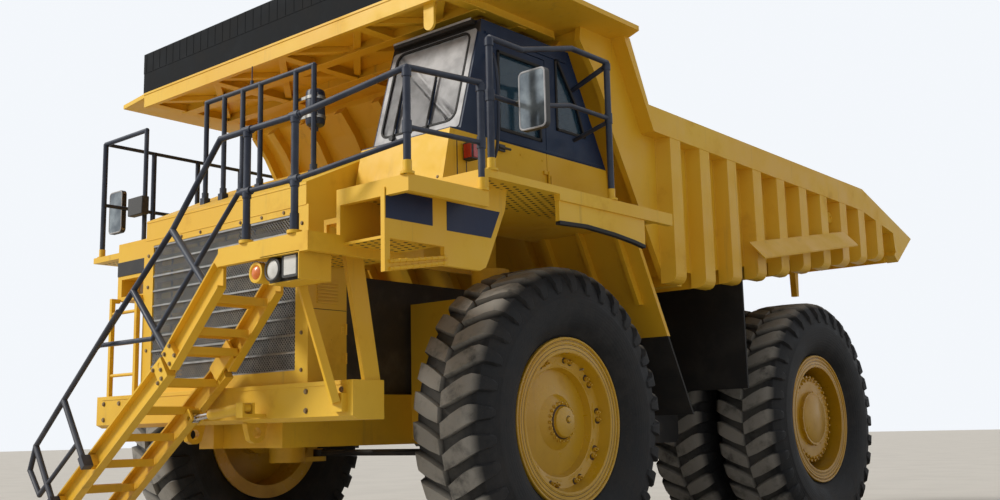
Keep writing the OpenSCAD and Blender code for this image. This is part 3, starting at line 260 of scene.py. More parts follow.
def stairFinish(name):    # yellow flight with a dark handrail along its outer side
    f = paintFinish(name)
    yellow = f.colour()
    cloud = f.noise(3.1, 6, 0.6)
    dark = f.blend(cloud.fromTo(0.40, 0.75), (0.022, 0.027, 0.042), (0.050, 0.055, 0.075))
    f.drive("Base Color", f.blend(f.axis("Y") < changeAt["stairRail"], yellow, dark))
    return f


finishes = {
    "yellow": paintFinish("wornYellowPaint"),
    "rim": paintFinish("rimPaint", rimPaintLook, 0.8, 0.24),
    "cab": cabFinish("cabPaint"),
    "rail": darkFinish("handrailPaint", (0.016, 0.023, 0.045), (0.050, 0.062, 0.092), rough=0.34, dusty=0.35),
    "navy": darkFinish("navyBand", (0.010, 0.018, 0.055), (0.020, 0.032, 0.075), dusty=0.2),
    "black": darkFinish("blackPaint", (0.016, 0.016, 0.017), (0.05, 0.045, 0.04)),
    "band": darkFinish("rimPlatePaint", (0.006, 0.008, 0.011), (0.020, 0.021, 0.023), rough=0.72, dusty=0.10,
                       spec=0.12),
    "castMetal": darkFinish("dustyCastMetal", (0.085, 0.080, 0.072), (0.17, 0.15, 0.12), 0.55, metal=0.35),
    "chrome": plainFinish("platedRod", (0.62, 0.62, 0.62), (0.48, 0.47, 0.45), 0.16, 1.0, 6, 0.04),
    "frontTyre": tyreFinish("frontTyreRubber", toOrigin.y),
    "rearTyre": tyreFinish("rearTyreRubber", toOrigin.y + wheelbase),
    "rubber": darkFinish("rubberSheet", (0.014, 0.014, 0.015), (0.034, 0.032, 0.030), rough=0.62, dusty=0.5),
    # the second colour is the windshield's painted reflection of the sky
    "glass": glassFinish("cabGlass", (0.036, 0.085, 0.140), (0.82, 0.89, 0.93)),
    "pane": plainFinish("mirrorPane", (0.10, 0.12, 0.14), (0.30, 0.34, 0.36), 0.08, 0.6, 3, 0.05),
    "trim": plainFinish("brightTrim", (0.420, 0.425, 0.455), (0.330, 0.335, 0.360), 0.50, 0.0, 9, 0.08),
    "lens": plainFinish("lampLens", (0.68, 0.68, 0.67), (0.56, 0.56, 0.54), 0.22, 0.0, 20, 0.2),
    "amber": plainFinish("amberLens", (0.75, 0.19, 0.012), (0.62, 0.13, 0.01), 0.22, 0.0, 18, 0.1, coat=0.5),
    "red": plainFinish("redLens", (0.45, 0.018, 0.014), (0.33, 0.012, 0.01), 0.25, 0.0, 18, 0.1, coat=0.5),
    "stairs": stairFinish("lowerFlightPaint"),
    "grille": darkFinish("grilleMesh", (0.030, 0.030, 0.032), (0.09, 0.08, 0.065), rough=0.5, dusty=0.7),
    "mesh": plainFinish("meshStrands", (0.22, 0.225, 0.23), (0.34, 0.33, 0.31), 0.38, 0.5, 12, 0.1),
    "steel": plainFinish("galvanisedSteel", (0.34, 0.34, 0.33), (0.22, 0.21, 0.19), 0.36, 0.8, 14, 0.15),
    # dark rings and discs on the rims: painted shade in the gaps and painted shadows of the nuts
    "seam": plainFinish("rimPaintedShade", (0.075, 0.035, 0.008), (0.040, 0.022, 0.008), 0.6, 0.0, 20, 0.1),
    "bolt": plainFinish("boltHead", (0.30, 0.22, 0.11), (0.16, 0.10, 0.05), 0.5, 0.35, 30, 0.2),
    "cloth": plainFinish("seatCloth", (0.030, 0.031, 0.034), (0.055, 0.055, 0.058), 0.85, 0.0, 90, 0.5),
    "plastic": plainFinish("blackPlastic", (0.018, 0.018, 0.019), (0.035, 0.035, 0.035), 0.5, 0.0, 40, 0.2),
}

nodeFinish = {
    "rim": ["left_front_rim", "right_front_rim", "left_rear_rims", "right_rear_rims"],
    "yellow": ["frame", "front_bumper", "radiator_guard", "hood", "struts", "left_knuckle", "right_knuckle",
               "rear_axle", "left_decks", "right_decks", "upper_stairs", "stair_cylinder", "front_lamps",
               "bed_floor", "bed_sides", "bed_front", "canopy", "hoist_barrels"],
    "grille": ["grille"], "castMetal": ["engine", "gearbox"], "rail": ["rails"],
    "black": ["tie_rod", "side_tanks"], "stairs": ["lower_stairs"], "cab": ["cab_shell", "cab_door"],
    "glass": ["cab_glass", "door_glass"], "plastic": ["mirrors", "steering_column"], "cloth": ["driver_seat"],
    "rubber": ["fender_flaps", "bed_flaps"], "chrome": ["stair_rod", "hoist_stages", "hoist_rods"],
    "frontTyre": ["left_front_tyre", "right_front_tyre"], "rearTyre": ["left_rear_tyres", "right_rear_tyres"],
}

for words, names in nodeFinish.items():
    for name in names:
        nodes[name].data.materials.clear()
        nodes[name].data.materials.append(finishes[words].material)
print("finishes made:", len(finishes))


# stage, light and camera

stageLook = {"floor": (0.62, 0.60, 0.57), "size": 160, "sky": (0.93, 0.90, 0.85), "fill": 0.42,
             "backdrop": (0.90, 0.93, 0.97), "sun": 2.75, "sunSize": 14.0, "sunColour": (1.0, 0.95, 0.86),
             "sunFrom": (-0.62, -0.70, 0.62)}


def makeFloor(look):
    bm = bmesh.new()
    bmesh.ops.create_grid(bm, x_segments=2, y_segments=2, size=look["size"])
    floor = bpy.data.objects.new("floor", bpy.data.meshes.new("floor"))
    bm.to_mesh(floor.data)
    bm.free()
    scene.collection.objects.link(floor)
    f = Finish("paleFloor", rough=0.9)
    f.drive("Base Color", f.blend(f.noise(0.8, 6).fromTo(0.35, 0.7), look["floor"],
                                  tuple(0.93 * c for c in look["floor"])))
    floor.data.materials.append(f.material)


def makeSky(look):
    scene.world = bpy.data.worlds.new("softSky")
    scene.world.use_nodes = True
    sky = Nodes(scene.world.node_tree)
    fill = sky.tree.nodes["Background"]
    sky.join(fill.inputs[0], look["sky"])
    sky.join(fill.inputs[1], look["fill"])
    backdrop = sky.node("ShaderNodeBackground", None, {0: look["backdrop"], 1: 1.0})
    seen = 0.0
    for words in ("Camera", "Transmission", "Glossy"):      # these rays see the pale backdrop
        ray = sky.node("ShaderNodeLightPath", output="Is " + words + " Ray")
        seen = sky.node("ShaderNodeMath", {"operation": "MAXIMUM"}, {0: seen, 1: ray})
    both = sky.node("ShaderNodeMixShader", None, {0: seen, 1: Wire(sky, fill.outputs[0]), 2: backdrop})
    sky.join(sky.tree.nodes["World Output"].inputs[0], both)


def makeSun(look):
    lamp = bpy.data.lights.new("keyLight", "SUN")
    lamp.energy, lamp.angle, lamp.color = look["sun"], math.radians(look["sunSize"]), look["sunColour"]
    key = bpy.data.objects.new("keyLight", lamp)
    key.rotation_euler = Vector(look["sunFrom"]).to_track_quat("Z", "Y").to_euler()
    scene.collection.objects.link(key)


# worked out from points of the photograph: place from the front axle, turns in degrees
cameraLook = {"place": (8.169, -7.633, 1.273), "yaw": 40.694, "pitch": 9.346, "roll": -1.304, "lens": 39.77}


def makeCamera(look):
    lens = bpy.data.cameras.new("photoCamera")
    lens.lens, lens.sensor_width, lens.clip_end = look["lens"], 36.0, 500
    camera = bpy.data.objects.new("photoCamera", lens)
    camera.matrix_world = (Matrix.Translation(Vector(look["place"]) + toOrigin)
                           @ Matrix.Rotation(math.radians(look["yaw"]), 4, "Z")
                           @ Matrix.Rotation(math.radians(90 + look["pitch"]), 4, "X")
                           @ Matrix.Rotation(math.radians(look["roll"]), 4, "Z"))
    scene.collection.objects.link(camera)
    scene.camera = camera


makeFloor(stageLook)
makeSky(stageLook)
makeSun(stageLook)
makeCamera(cameraLook)
print("stage and camera made")


# shared ways of making pieces

def placePiece(name, mesh, finish, body, bevel=0.0):
    piece = bpy.data.objects.new(name, mesh)
    scene.collection.objects.link(piece)
    mesh.materials.append(finishes[finish].material)
    if bevel:
        soft = piece.modifiers.new("edges", "BEVEL")
        soft.width, soft.segments, soft.limit_method, soft.angle_limit = bevel, 2, "ANGLE", math.radians(40)
    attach(piece, body)
    return piece


def addPiece(name, bm, finish, body="chassis", angle=35, bevel=0.0):
    bmesh.ops.translate(bm, verts=bm.verts, vec=toOrigin)
    bmesh.ops.recalc_face_normals(bm, faces=bm.faces)
    mesh = bpy.data.meshes.new(name)
    bm.to_mesh(mesh)
    bm.free()
    mesh.shade_smooth()
    mesh.set_sharp_from_angle(angle=math.radians(angle))
    return placePiece(name, mesh, finish, body, bevel)


def addBox(bm, low, high, matrix=Matrix()):
    low, high = Vector(low), Vector(high)
    made = bmesh.ops.create_cube(bm, size=1.0)["verts"]
    bmesh.ops.scale(bm, verts=made, vec=high - low)
    bmesh.ops.translate(bm, verts=made, vec=(low + high) / 2)
    bmesh.ops.transform(bm, verts=made, matrix=matrix)


def boxPiece(name, finish, boxes, body="chassis", bevel=0.0):
    bm = bmesh.new()
    for low, high in boxes:
        addBox(bm, low, high)
    addPiece(name, bm, finish, body, bevel=bevel)


def addRod(bm, start, end, radius, sides=12, endRadius=None, caps=True):
    start, end = Vector(start), Vector(end)
    run = end - start
    last = radius if endRadius is None else endRadius
    made = bmesh.ops.create_cone(bm, cap_ends=caps, segments=sides, radius1=radius, radius2=last,
                                 depth=run.length)["verts"]
    bmesh.ops.transform(bm, verts=made, matrix=Matrix.Translation((start + end) / 2)
                        @ run.to_track_quat("Z", "Y").to_matrix().to_4x4())


def addPost(bm, x, y, low, high, radius, sides=16):    # an upright rod
    addRod(bm, (x, y, low), (x, y, high), radius, sides)


def addBolt(bm, at, toward, radius, height):    # six-sided head on a round washer
    at, toward = Vector(at), Vector(toward).normalized()
    addRod(bm, at - toward * 0.004, at + toward * height * 0.35, radius * 1.35, 12)
    addRod(bm, at, at + toward * height, radius, 6)


def addTurned(bm, outline, centre, axis=outward, steps=72):
    # outline of radius and place along the axis, spun right round
    side = Vector(axis).orthogonal().normalized()
    made = [bm.verts.new(Vector(centre) + side * r + Vector(axis) * a) for r, a in outline]
    edges = [bm.edges.new(pair) for pair in zip(made, made[1:])]
    bmesh.ops.spin(bm, geom=made + edges, cent=centre, axis=axis, angle=math.tau, steps=steps, use_merge=True)
    bmesh.ops.remove_doubles(bm, verts=bm.verts, dist=1e-5)


def addPlate(bm, points, thickness, axis, at):
    # flat outline pushed to a thickness along X or Y; points are the two other places
    alongX = axis == "X"
    face = bm.faces.new([bm.verts.new((at, a, b) if alongX else (a, at, b)) for a, b in points])
    grown = bmesh.ops.extrude_face_region(bm, geom=[face])
    verts = [v for v in grown["geom"] if isinstance(v, bmesh.types.BMVert)]
    bmesh.ops.translate(bm, verts=verts, vec=(thickness, 0, 0) if alongX else (0, thickness, 0))


def roundOutline(x0, x1, z0, z1, radius, steps=5):
    # corners of a rounded rectangle, in order
    corners = ((x1 - radius, z1 - radius, 0), (x0 + radius, z1 - radius, 90), (x0 + radius, z0 + radius, 180),
               (x1 - radius, z0 + radius, 270))
    turns = [(x, z, math.radians(a + 90 * i / steps)) for x, z, a in corners for i in range(steps + 1)]
    return [(x + radius * math.cos(a), z + radius * math.sin(a)) for x, z, a in turns]


def addHoop(bm, outer, inner, front, back, matrix=Matrix()):
    # flat frame between two outlines that have as many corners
    rings = [[bm.verts.new(matrix @ Vector((x, y, z))) for x, z in outline]
             for outline, y in ((outer, front), (inner, front), (inner, back), (outer, back))]
    for first, last in zip(rings, rings[1:] + rings[:1]):
        bmesh.ops.bridge_loops(bm, edges=ringEdges(bm, first) + ringEdges(bm, last))


def ringEdges(bm, ring):
    pairs = list(zip(ring, ring[1:] + ring[:1]))
    return [bm.edges.get(pair) or bm.edges.new(pair) for pair in pairs]


def makeTube(name, points, radius, finish, closed=False):
    # a smooth pipe through points, as a mesh on the chassis
    curve = bpy.data.curves.new(name, "CURVE")
    curve.dimensions, curve.bevel_depth, curve.bevel_resolution, curve.use_fill_caps = "3D", radius, 3, True
    curve.resolution_u = 10
    line = curve.splines.new("BEZIER")
    line.bezier_points.add(len(points) - 1)
    line.use_cyclic_u = closed
    for knot, point in zip(line.bezier_points, points):
        knot.co = Vector(point) + toOrigin
        knot.handle_left_type = knot.handle_right_type = "AUTO"
    drawn = bpy.data.objects.new(name, curve)
    scene.collection.objects.link(drawn)
    bpy.context.view_layer.update()
    mesh = bpy.data.meshes.new_from_object(drawn.evaluated_get(bpy.context.evaluated_depsgraph_get()))
    bpy.data.objects.remove(drawn)
    mesh.materials.clear()
    mesh.shade_smooth()
    placePiece(name, mesh, finish, "chassis")


# tyres

# lean is how far a lug slants, in pitches; half holds its half width at the top and at the foot
tyreLook = {"radius": 1.345, "floorDrop": 0.062, "lugs": 34, "lugShare": 0.72, "lean": 0.57,
            "half": (0.43, 0.5), "seat": 0.6205, "flange": 0.73}


def tyreCarcass(bm, look):
    r, flange = look["radius"] - look["floorDrop"], look["flange"]
    half = [(look["seat"], 0.234), (flange, 0.248), (flange + 0.016, 0.262), (0.80, 0.330), (0.88, 0.366),
            (0.955, 0.383), (1.04, 0.383), (1.055, 0.3835), (1.065, 0.378), (1.13, 0.370), (1.20, 0.345),
            (r - 0.03, 0.315), (r - 0.008, 0.26), (r, 0.18), (r + 0.004, 0.08)]
    addTurned(bm, half + [(p, -a) for p, a in reversed(half)], (0, 0, 0), steps=96)


def addLug(bm, look, side, turn):
    # one block of the tread: leaves the middle at a slant and wraps over the shoulder
    r = look["radius"]
    drop = look["floorDrop"] + 0.012
    pitch = math.tau / look["lugs"]
    wide, lean = pitch * look["lugShare"], pitch * look["lean"]
    top, foot = look["half"]
    # each row: place along the axle, outer and inner radius, share of the width, share of the slant
    rows = [(0.012, r, r - drop, 0.80, 0.0), (0.12, r - 0.001, r - drop, 0.98, 0.36),
            (0.225, r - 0.004, r - drop, 1.0, 0.72), (0.292, r - 0.018, r - drop - 0.005, 0.94, 0.92),
            (0.345, r - 0.065, r - 0.135, 0.80, 1.0), (0.3845, r - 0.150, r - 0.205, 0.62, 1.02),
            (0.3845, r - 0.235, r - 0.250, 0.36, 1.03)]
    rings = []
    for along, outer, inner, share, slant in rows:
        ring = []
        for radius, shift in ((outer, -top), (outer, top), (inner, foot), (inner, -foot)):
            a = turn + (slant * lean + shift * wide * share)
            x = along if radius == outer else along * 0.985 - 0.004
            ring.append(bm.verts.new((side * x, radius * math.sin(a), radius * math.cos(a))))
        rings.append(ring)
    for first, last in zip(rings, rings[1:]):
        bmesh.ops.bridge_loops(bm, edges=ringEdges(bm, first) + ringEdges(bm, last))
    bmesh.ops.contextual_create(bm, geom=rings[0])
    bmesh.ops.contextual_create(bm, geom=rings[-1])


def makeTyre(name, node, places, y, finish, body, turn, look=tyreLook):
    # one tyre built round the origin and copied to each place along its axle
    bm, whole = bmesh.new(), bmesh.new()
    tyreCarcass(bm, look)
    pitch = math.tau / look["lugs"]
    for i in range(look["lugs"]):
        addLug(bm, look, 1, turn + i * pitch)
        addLug(bm, look, -1, turn + (i + 0.5) * pitch)
    for x in places:
        copy, mesh = bm.copy(), bpy.data.meshes.new("spare")
        bmesh.ops.translate(copy, verts=copy.verts, vec=(x, y, axleHeight))
        copy.to_mesh(mesh)
        copy.free()
        whole.from_mesh(mesh)
        bpy.data.meshes.remove(mesh)
    bm.free()
    piece = addPiece(name, whole, finish, body, angle=32)
    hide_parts(node)


frontMiddle = 2.085
rearPair = (1.3495, 2.2265)
for words, side, turn in (("left", 1, 0.05), ("right", -1, 0.11)):
    makeTyre("frontTyre" + words.title(), words + "_front_tyre", [side * frontMiddle], 0, "frontTyre",
             words + "_front_wheel", turn)
for words, side, turn in (("left", 1, 0.02), ("right", -1, 0.08)):
    makeTyre("rearTyres" + words.title(), words + "_rear_tyres", [side * x for x in rearPair], wheelbase,
             "rearTyre", words + "_rear_wheels", turn)
print("tyres made")


# rims

# outlines are pairs of radius and height over the rim's flat face
rimLook = {"clamps": 10, "clampRing": 0.538, "hubBolts": 20, "teeth": 34, "plateBolts": 16,
           "frontFace": 0.270, "rearFace": 0.6085, "rearMiddle": 1.788, "gaps": (0.695, 0.657, 0.626),
           "rings": ([(0.700, -0.004), (0.706, 0.011), (0.720, 0.013), (0.727, 0.006), (0.727, -0.020)],
                     [(0.664, -0.004), (0.668, 0.007), (0.684, 0.008), (0.690, -0.004)],
                     [(0.591, -0.012), (0.594, 0.004), (0.614, 0.005), (0.620, -0.004)])}


def spoke(turn):    # outward direction of a turn about the axle
    return Vector((0, math.sin(turn), math.cos(turn)))


def addRimRings(bm, shadeLines, look, spot, axis, face):
    # lip, lock ring and gutter standing on the flat face of a rim, with dark rings of painted shade in the
    # gaps between
    for outline in look["rings"]:
        addTurned(bm, [(r, face + a) for r, a in outline], spot, axis, 96)
    for radius in look["gaps"]:
        gapShade = [(radius - 0.004, face - 0.001), (radius, face + 0.0015), (radius + 0.004, face - 0.001)]
        addTurned(shadeLines, gapShade, spot, axis, 96)


def frontRimDetail(name, side, body, look=rimLook):
    bm, shadeLines, valve = bmesh.new(), bmesh.new(), bmesh.new()
    spot, axis = Vector((side * frontMiddle, 0, axleHeight)), Vector((side, 0, 0))
    addRimRings(bm, shadeLines, look, spot, axis, look["frontFace"])
    # cover of the hub, its ring of bolts and its plug
    addTurned(bm, [(0.0, 0.230), (0.112, 0.228), (0.130, 0.221), (0.136, 0.198)], spot, axis, 64)
    # dark ring of painted shade round the cover's edge
    addTurned(shadeLines, [(0.137, 0.198), (0.143, 0.1945), (0.149, 0.186)], spot, axis, 64)
    for i in range(look["hubBolts"]):
        out = spoke(i * math.tau / look["hubBolts"])
        addBolt(bm, spot + out * 0.165 + axis * 0.175, axis, 0.011, 0.022)
    plug = spot + Vector((0, 0.030, 0.02))
    # dark ring of painted shade round the plug
    addTurned(shadeLines, [(0.026, 0.2300), (0.030, 0.2325), (0.034, 0.2285)], plug, axis, 24)
    addRod(bm, plug + axis * 0.225, plug + axis * 0.243, 0.022, 12)
    # pairs of round nuts round the channel, on dark discs that are painted shadows of the nuts
    lean = Vector((side * 0.976, 0, -0.217))
    for i in range(look["clamps"]):
        turnOn = Matrix.Translation(spot) @ Matrix.Rotation(-(i + 0.35) * math.tau / look["clamps"], 4, "X")
        for y in (-0.032, 0.032):
            at = Vector((side * 0.1640, y, look["clampRing"]))
            addRod(bm, turnOn @ at, turnOn @ (at + lean * 0.030), 0.021, 14, 0.018)
            addRod(bm, turnOn @ (at + lean * 0.030), turnOn @ (at + lean * 0.050), 0.010, 8)
            at.y *= 1.3
            addRod(shadeLines, turnOn @ (at - lean * 0.010), turnOn @ (at + lean * 0.004), 0.032, 14, 0.030)
        addBox(bm, (side * 0.120, -0.115, 0.480), (side * 0.158, 0.115, 0.512), turnOn)
    addPiece(name, bm, "rim", body, bevel=0.003)
    # the dark rings and discs of painted shade on the front rim
    addPiece(name + "PaintedShade", shadeLines, "seam", body)
    foot, tip = spot + Vector((side * 0.155, 0.30, 0.455)), spot + Vector((side * 0.205, 0.30, 0.460))
    addRod(valve, foot, tip, 0.008, 8)
    addPiece(name + "Valve", valve, "steel", body)


def rearRimDetail(name, side, body, look=rimLook):
    bm, shadeLines = bmesh.new(), bmesh.new()
    spot, axis = Vector((side * look["rearMiddle"], wheelbase, axleHeight)), Vector((side, 0, 0))
    face = look["rearFace"]
    addRimRings(bm, shadeLines, look, spot, axis, face + 0.100)
    plate = [(0.0, 0.052), (0.262, 0.050), (0.278, 0.040), (0.284, 0.02)]
    band = [(0.462, -0.085), (0.478, -0.075), (0.478, -0.015), (0.462, 0.006)]
    addTurned(bm, [(r, face + a) for r, a in plate], spot, axis, 72)
    addTurned(bm, [(r, face + a) for r, a in band], spot, axis, 96)
    for i in range(look["teeth"]):
        a = (i + 0.5) * math.tau / look["teeth"]
        addBolt(bm, spot + spoke(a) * 0.446 + axis * (face - 0.004), axis, 0.0155, 0.024)
        tooth = Matrix.Translation(spot) @ Matrix.Rotation(-a, 4, "X")
        addBox(bm, (side * (face - 0.07), -0.019, 0.455), (side * (face - 0.006), 0.019, 0.494), tooth)
    for i in range(look["plateBolts"]):
        out = spoke(i * math.tau / look["plateBolts"])
        addBolt(bm, spot + out * 0.300 + axis * (face + 0.030), axis, 0.011, 0.012)
    addPiece(name, bm, "rim", body, bevel=0.003)
    # the dark rings of painted shade in the rear rim's gaps
    addPiece(name + "PaintedShade", shadeLines, "seam", body)


for words, side in (("left", 1), ("right", -1)):
    frontRimDetail("frontRimDetail" + words.title(), side, words + "_front_wheel")
for words, side in (("left", 1), ("right", -1)):
    rearRimDetail("rearRimDetail" + words.title(), side, words + "_rear_wheels")
print("rims made")


# front end

grilleLook = {"pitch": 0.034, "wire": 0.0044, "half": 1.058, "low": 1.802, "high": 3.088, "rows": 9,
              "y": -1.926}


def makeGrilleMesh(look):
    # expanded metal over the louvres: two runs of slanted strands cut to the opening, and an edge to each row
    strands, edges = bmesh.new(), bmesh.new()
    half, low, high, y = look["half"], look["low"], look["high"], look["y"]
    tall = high - low
    for lean in (-1, 1):
        for i in range(int((2 * half + tall) / look["pitch"])):
            x = i * look["pitch"] - half - tall
            first, last = max(0.0, -half - x), min(tall, half - x)
            if last - first > 0.02:
                addRod(strands, (lean * (x + first), y, low + first), (lean * (x + last), y, low + last),
                       look["wire"], 4, caps=False)
    for i in range(look["rows"] + 1):
        z = low + 0.006 + i * (tall - 0.012) / look["rows"]
        addBox(edges, (-half, -1.937, z - 0.005), (half, -1.9215, z + 0.005))
        addBox(edges, (-half, -1.9395, z - 0.012), (half, -1.934, z - 0.003))
    addPiece("grilleMesh", strands, "mesh")
    addPiece("grilleRowEdges", edges, "steel")


# rows of bolts: places across, place along, heights, radius and height of the heads
trimLook = {"bolts": [((-1.14, 1.14), -1.94, (1.80, 2.10, 2.40, 2.70, 3.00), 0.013, 0.011),
                      ([-0.9 + 0.3 * i for i in range(7)], -1.94, (3.12,), 0.012, 0.010),
                      ((-1.72, -1.45, 1.30, 1.72), -2.02, (1.47, 1.62), 0.017, 0.014)],
            "seams": [((-1.19, -1.9445, 3.146), (1.19, -1.9395, 3.154)),
                      ((-1.75, -2.026, 1.655), (1.80, -2.019, 1.690)),
                      ((-1.19, -1.9445, 3.318), (1.19, -1.9395, 3.326))],
            "guardSeams": [((1.2195, -1.930, 2.700), (1.2225, -1.535, 2.705)),
                           ((1.2195, -1.930, 2.290), (1.2225, -1.535, 2.294))],
            "hinges": (1.90, 2.14, 2.86)}


def makeFrontTrim(look):
    bolts, hinges = bmesh.new(), bmesh.new()
    for across, y, heights, radius, height in look["bolts"]:
        for x, z in product(across, heights):
            addBolt(bolts, (x, y, z), forward, radius, height)
    addPiece("frontBolts", bolts, "bolt")
    boxPiece("frontSeams", "yellow", look["seams"], bevel=0.002)
    # the guard's left side: panel with a seam across and hinges at its back edge
    boxPiece("guardSeams", "black", look["guardSeams"])
    for z in look["hinges"]:
        addPost(hinges, 1.228, -1.541, z - 0.045, z + 0.045, 0.009, 10)
        addBox(hinges, (1.2195, -1.590, z - 0.038), (1.2245, -1.540, z + 0.038))
        for y, dz in product((-1.578, -1.560), (-0.020, 0.020)):
            addBolt(hinges, (1.2245, y, z + dz), outward, 0.005, 0.005)
    addPiece("guardHinges", hinges, "yellow", bevel=0.001)


makeGrilleMesh(grilleLook)
makeFrontTrim(trimLook)


# the turned parts of the signals and headlamps: which part, its outline and its place
lampLook = {"round": (1.700, -2.66, 2.480), "square": (1.824, 1.966, 2.422, 2.563), "turned": [
    ("signal", [(0.0, 0.020), (0.030, 0.017), (0.050, 0.004), (0.053, -0.004)], (1.500, -2.662, 2.480)),
    ("ring", [(0.052, 0.002), (0.062, 0.010), (0.078, 0.008), (0.080, -0.03)], (1.500, -2.66, 2.480)),
    ("signal", [(0.0, 0.026), (0.034, 0.022), (0.054, 0.008), (0.058, -0.002)], (-1.620, -1.862, 2.925)),
    ("ring", [(0.058, -0.002), (0.066, 0.010), (0.074, 0.002)], (-1.620, -1.864, 2.925))]
    + [row for x in (-1.600, -1.420) for row in (
        ("back", [(0.0, -0.005), (0.045, 0.004), (0.064, 0.010)], (x, -1.699, 2.745)),
        ("ring", [(0.060, 0.020), (0.070, 0.028), (0.078, 0.020), (0.078, -0.02)], (x, -1.70, 2.745)))]}


def makeLamps(look):
    glass, rim = bmesh.new(), bmesh.new()
    # round and square lamps under the front deck, in their dark housing
    spot = look["round"]
    addTurned(rim, [(0.070, 0.012), (0.080, 0.016), (0.091, 0.010), (0.091, -0.05)], spot, forward, 40)
    addTurned(glass, [(0.0, 0.012), (0.040, 0.009), (0.072, 0.001)], spot, forward, 40)
    x0, x1, z0, z1 = look["square"]
    addBox(glass, (x0, -2.663, z0), (x1, -2.649, z1))
    addHoop(rim, roundOutline(x0 - 0.018, x1 + 0.018, z0 - 0.018, z1 + 0.018, 0.02),
            roundOutline(x0, x1, z0, z1, 0.012), -2.664, -2.640)
    boxPiece("lampHousingInside", "black", [((1.612, -2.6245, 2.390), (2.030, -2.6195, 2.566))])
    addPiece("lampLenses", glass, "lens", bevel=0.004)
    addPiece("lampRims", rim, "plastic", bevel=0.003)
    # signal lamps: one in its ring under the deck, one on the right housing over the two headlamps
    parts = {words: bmesh.new() for words in ("signal", "ring", "back")}
    for words, outline, spot in look["turned"]:
        addTurned(parts[words], outline, spot, forward, 32)
    addPiece("signalLenses", parts["signal"], "amber")
    addPiece("signalRings", parts["ring"], "yellow")
    addPiece("headlampLenses", parts["back"], "lens")
    boxPiece("rightDarkPanel", "black", [((-1.752, -1.906, 2.865), (-1.245, -1.8995, 3.005))], bevel=0.002)
    boxPiece("lampHood", "yellow", [((1.595, -2.70, 2.572), (2.045, -2.40, 2.584)),
                                    ((2.034, -2.70, 2.375), (2.046, -2.40, 2.584))], bevel=0.003)


makeLamps(lampLook)


# decks, stairs and rails

deckLook = {"pitch": 0.075, "hole": 0.017, "plates": [
    # x0, x1, y0, y1, height, above or below
    (1.26, 2.10, -2.65, -1.60, 2.710, 1), (2.16, 2.79, -2.33, -1.62, 3.050, 1),
    (2.16, 2.79, -2.33, -1.62, 2.990, -1), (1.26, 2.06, -2.62, -1.60, 2.650, -1),
    (2.18, 2.56, -2.33, -1.84, 2.660, 1), (2.18, 2.56, -2.33, -1.84, 2.640, -1),
    (2.32, 2.83, -1.52, 0.95, 3.220, 1), (2.16, 2.78, -1.45, 0.93, 3.160, -1),
    (-2.83, -1.28, -1.52, 0.95, 3.220, 1), (-2.78, -2.16, -1.45, 0.93, 3.160, -1)]}


def makeGripPlates(look):
    # raised, punched grip: small hollow studs in rows, and below a plate only their holes
    raised, holes = bmesh.new(), bmesh.new()
    pitch, hole = look["pitch"], look["hole"]
    for x0, x1, y0, y1, z, up in look["plates"]:
        for i, j in product(range(int((x1 - x0) / pitch) + 1), range(int((y1 - y0) / pitch) + 1)):
            at = Vector((x0 + (i + 0.5 * (j % 2)) * pitch, y0 + j * pitch, z))
            if at.x > x1 + 0.001:
                continue
            if up > 0:
                made = bmesh.ops.create_cone(raised, cap_ends=False, segments=8, radius1=hole + 0.006,
                                             radius2=hole, depth=0.004)["verts"]
                bmesh.ops.translate(raised, verts=made, vec=at + Vector((0, 0, 0.002)))
            disc = bmesh.ops.create_circle(holes, cap_ends=True, segments=8, radius=hole)["verts"]
            bmesh.ops.translate(holes, verts=disc, vec=at + Vector((0, 0, up * 0.0015)))
    addPiece("deckGripStuds", raised, "yellow")
    addPiece("deckGripHoles", holes, "black")


# angles of the two flights at rest, and places along and across them
stairLook = {"turnAt": (0.300, -2.700, 1.860), "upper": 44, "lower": 35.5, "sides": (-0.002, 0.632),
             "upperTreads": (0.7317, 0.3934, 0.19), "lowerTreads": [-0.175 - 0.375 * i for i in range(6)],
             "upperBolts": ((0.11, -0.10), (0.11, 0.01), (0.20, -0.10), (0.20, 0.01)),
             "lowerBolts": ((-0.03, -0.11), (0.0, -0.045), (-0.09, -0.11), (-0.09, 0.02))}
treadLook = {"depth": 0.22, "in": 0.082, "out": 0.548, "bars": 9, "crossBars": 12}


def flight(angle, look=stairLook):
    return Matrix.Translation(look["turnAt"]) @ Matrix.Rotation(math.radians(-angle), 4, "Y")


def makeTreadGrips(name, places, angle, body, look=treadLook):
    bm = bmesh.new()
    half, near, far = look["depth"] / 2, look["in"], look["out"]
    for u in places:
        level = Matrix.Rotation(math.radians(angle), 4, "Y")
        spot = flight(angle) @ Matrix.Translation((u, 0, -0.045)) @ level
        for i in range(look["bars"]):
            x = -half + 0.012 + i * (look["depth"] - 0.024) / (look["bars"] - 1)
            addBox(bm, (x - 0.003, near, 0.030), (x + 0.003, far, 0.038), spot)
        for j in range(look["crossBars"]):
            y = near + 0.02 + j * (far - near - 0.04) / (look["crossBars"] - 1)
            addBox(bm, (-half, y - 0.003, 0.030), (half, y + 0.003, 0.035), spot)
        for edge in (-half, half):
            addBox(bm, (edge - 0.004, near, -0.025), (edge + 0.004, far, 0.040), spot)
    addPiece(name, bm, "yellow", body)


def makeStairBolts(look):
    upper, lower = bmesh.new(), bmesh.new()
    for y, out in zip(look["sides"], (forward, (0, 1, 0))):
        for bm, which in ((upper, "upper"), (lower, "lower")):
            for u, v in look[which + "Bolts"]:
                addBolt(bm, flight(look[which]) @ Vector((u, y, v)), out, 0.013, 0.012)
    addPiece("upperStairBolts", upper, "bolt")
    addPiece("lowerStairBolts", lower, "bolt", "lower_stairs")


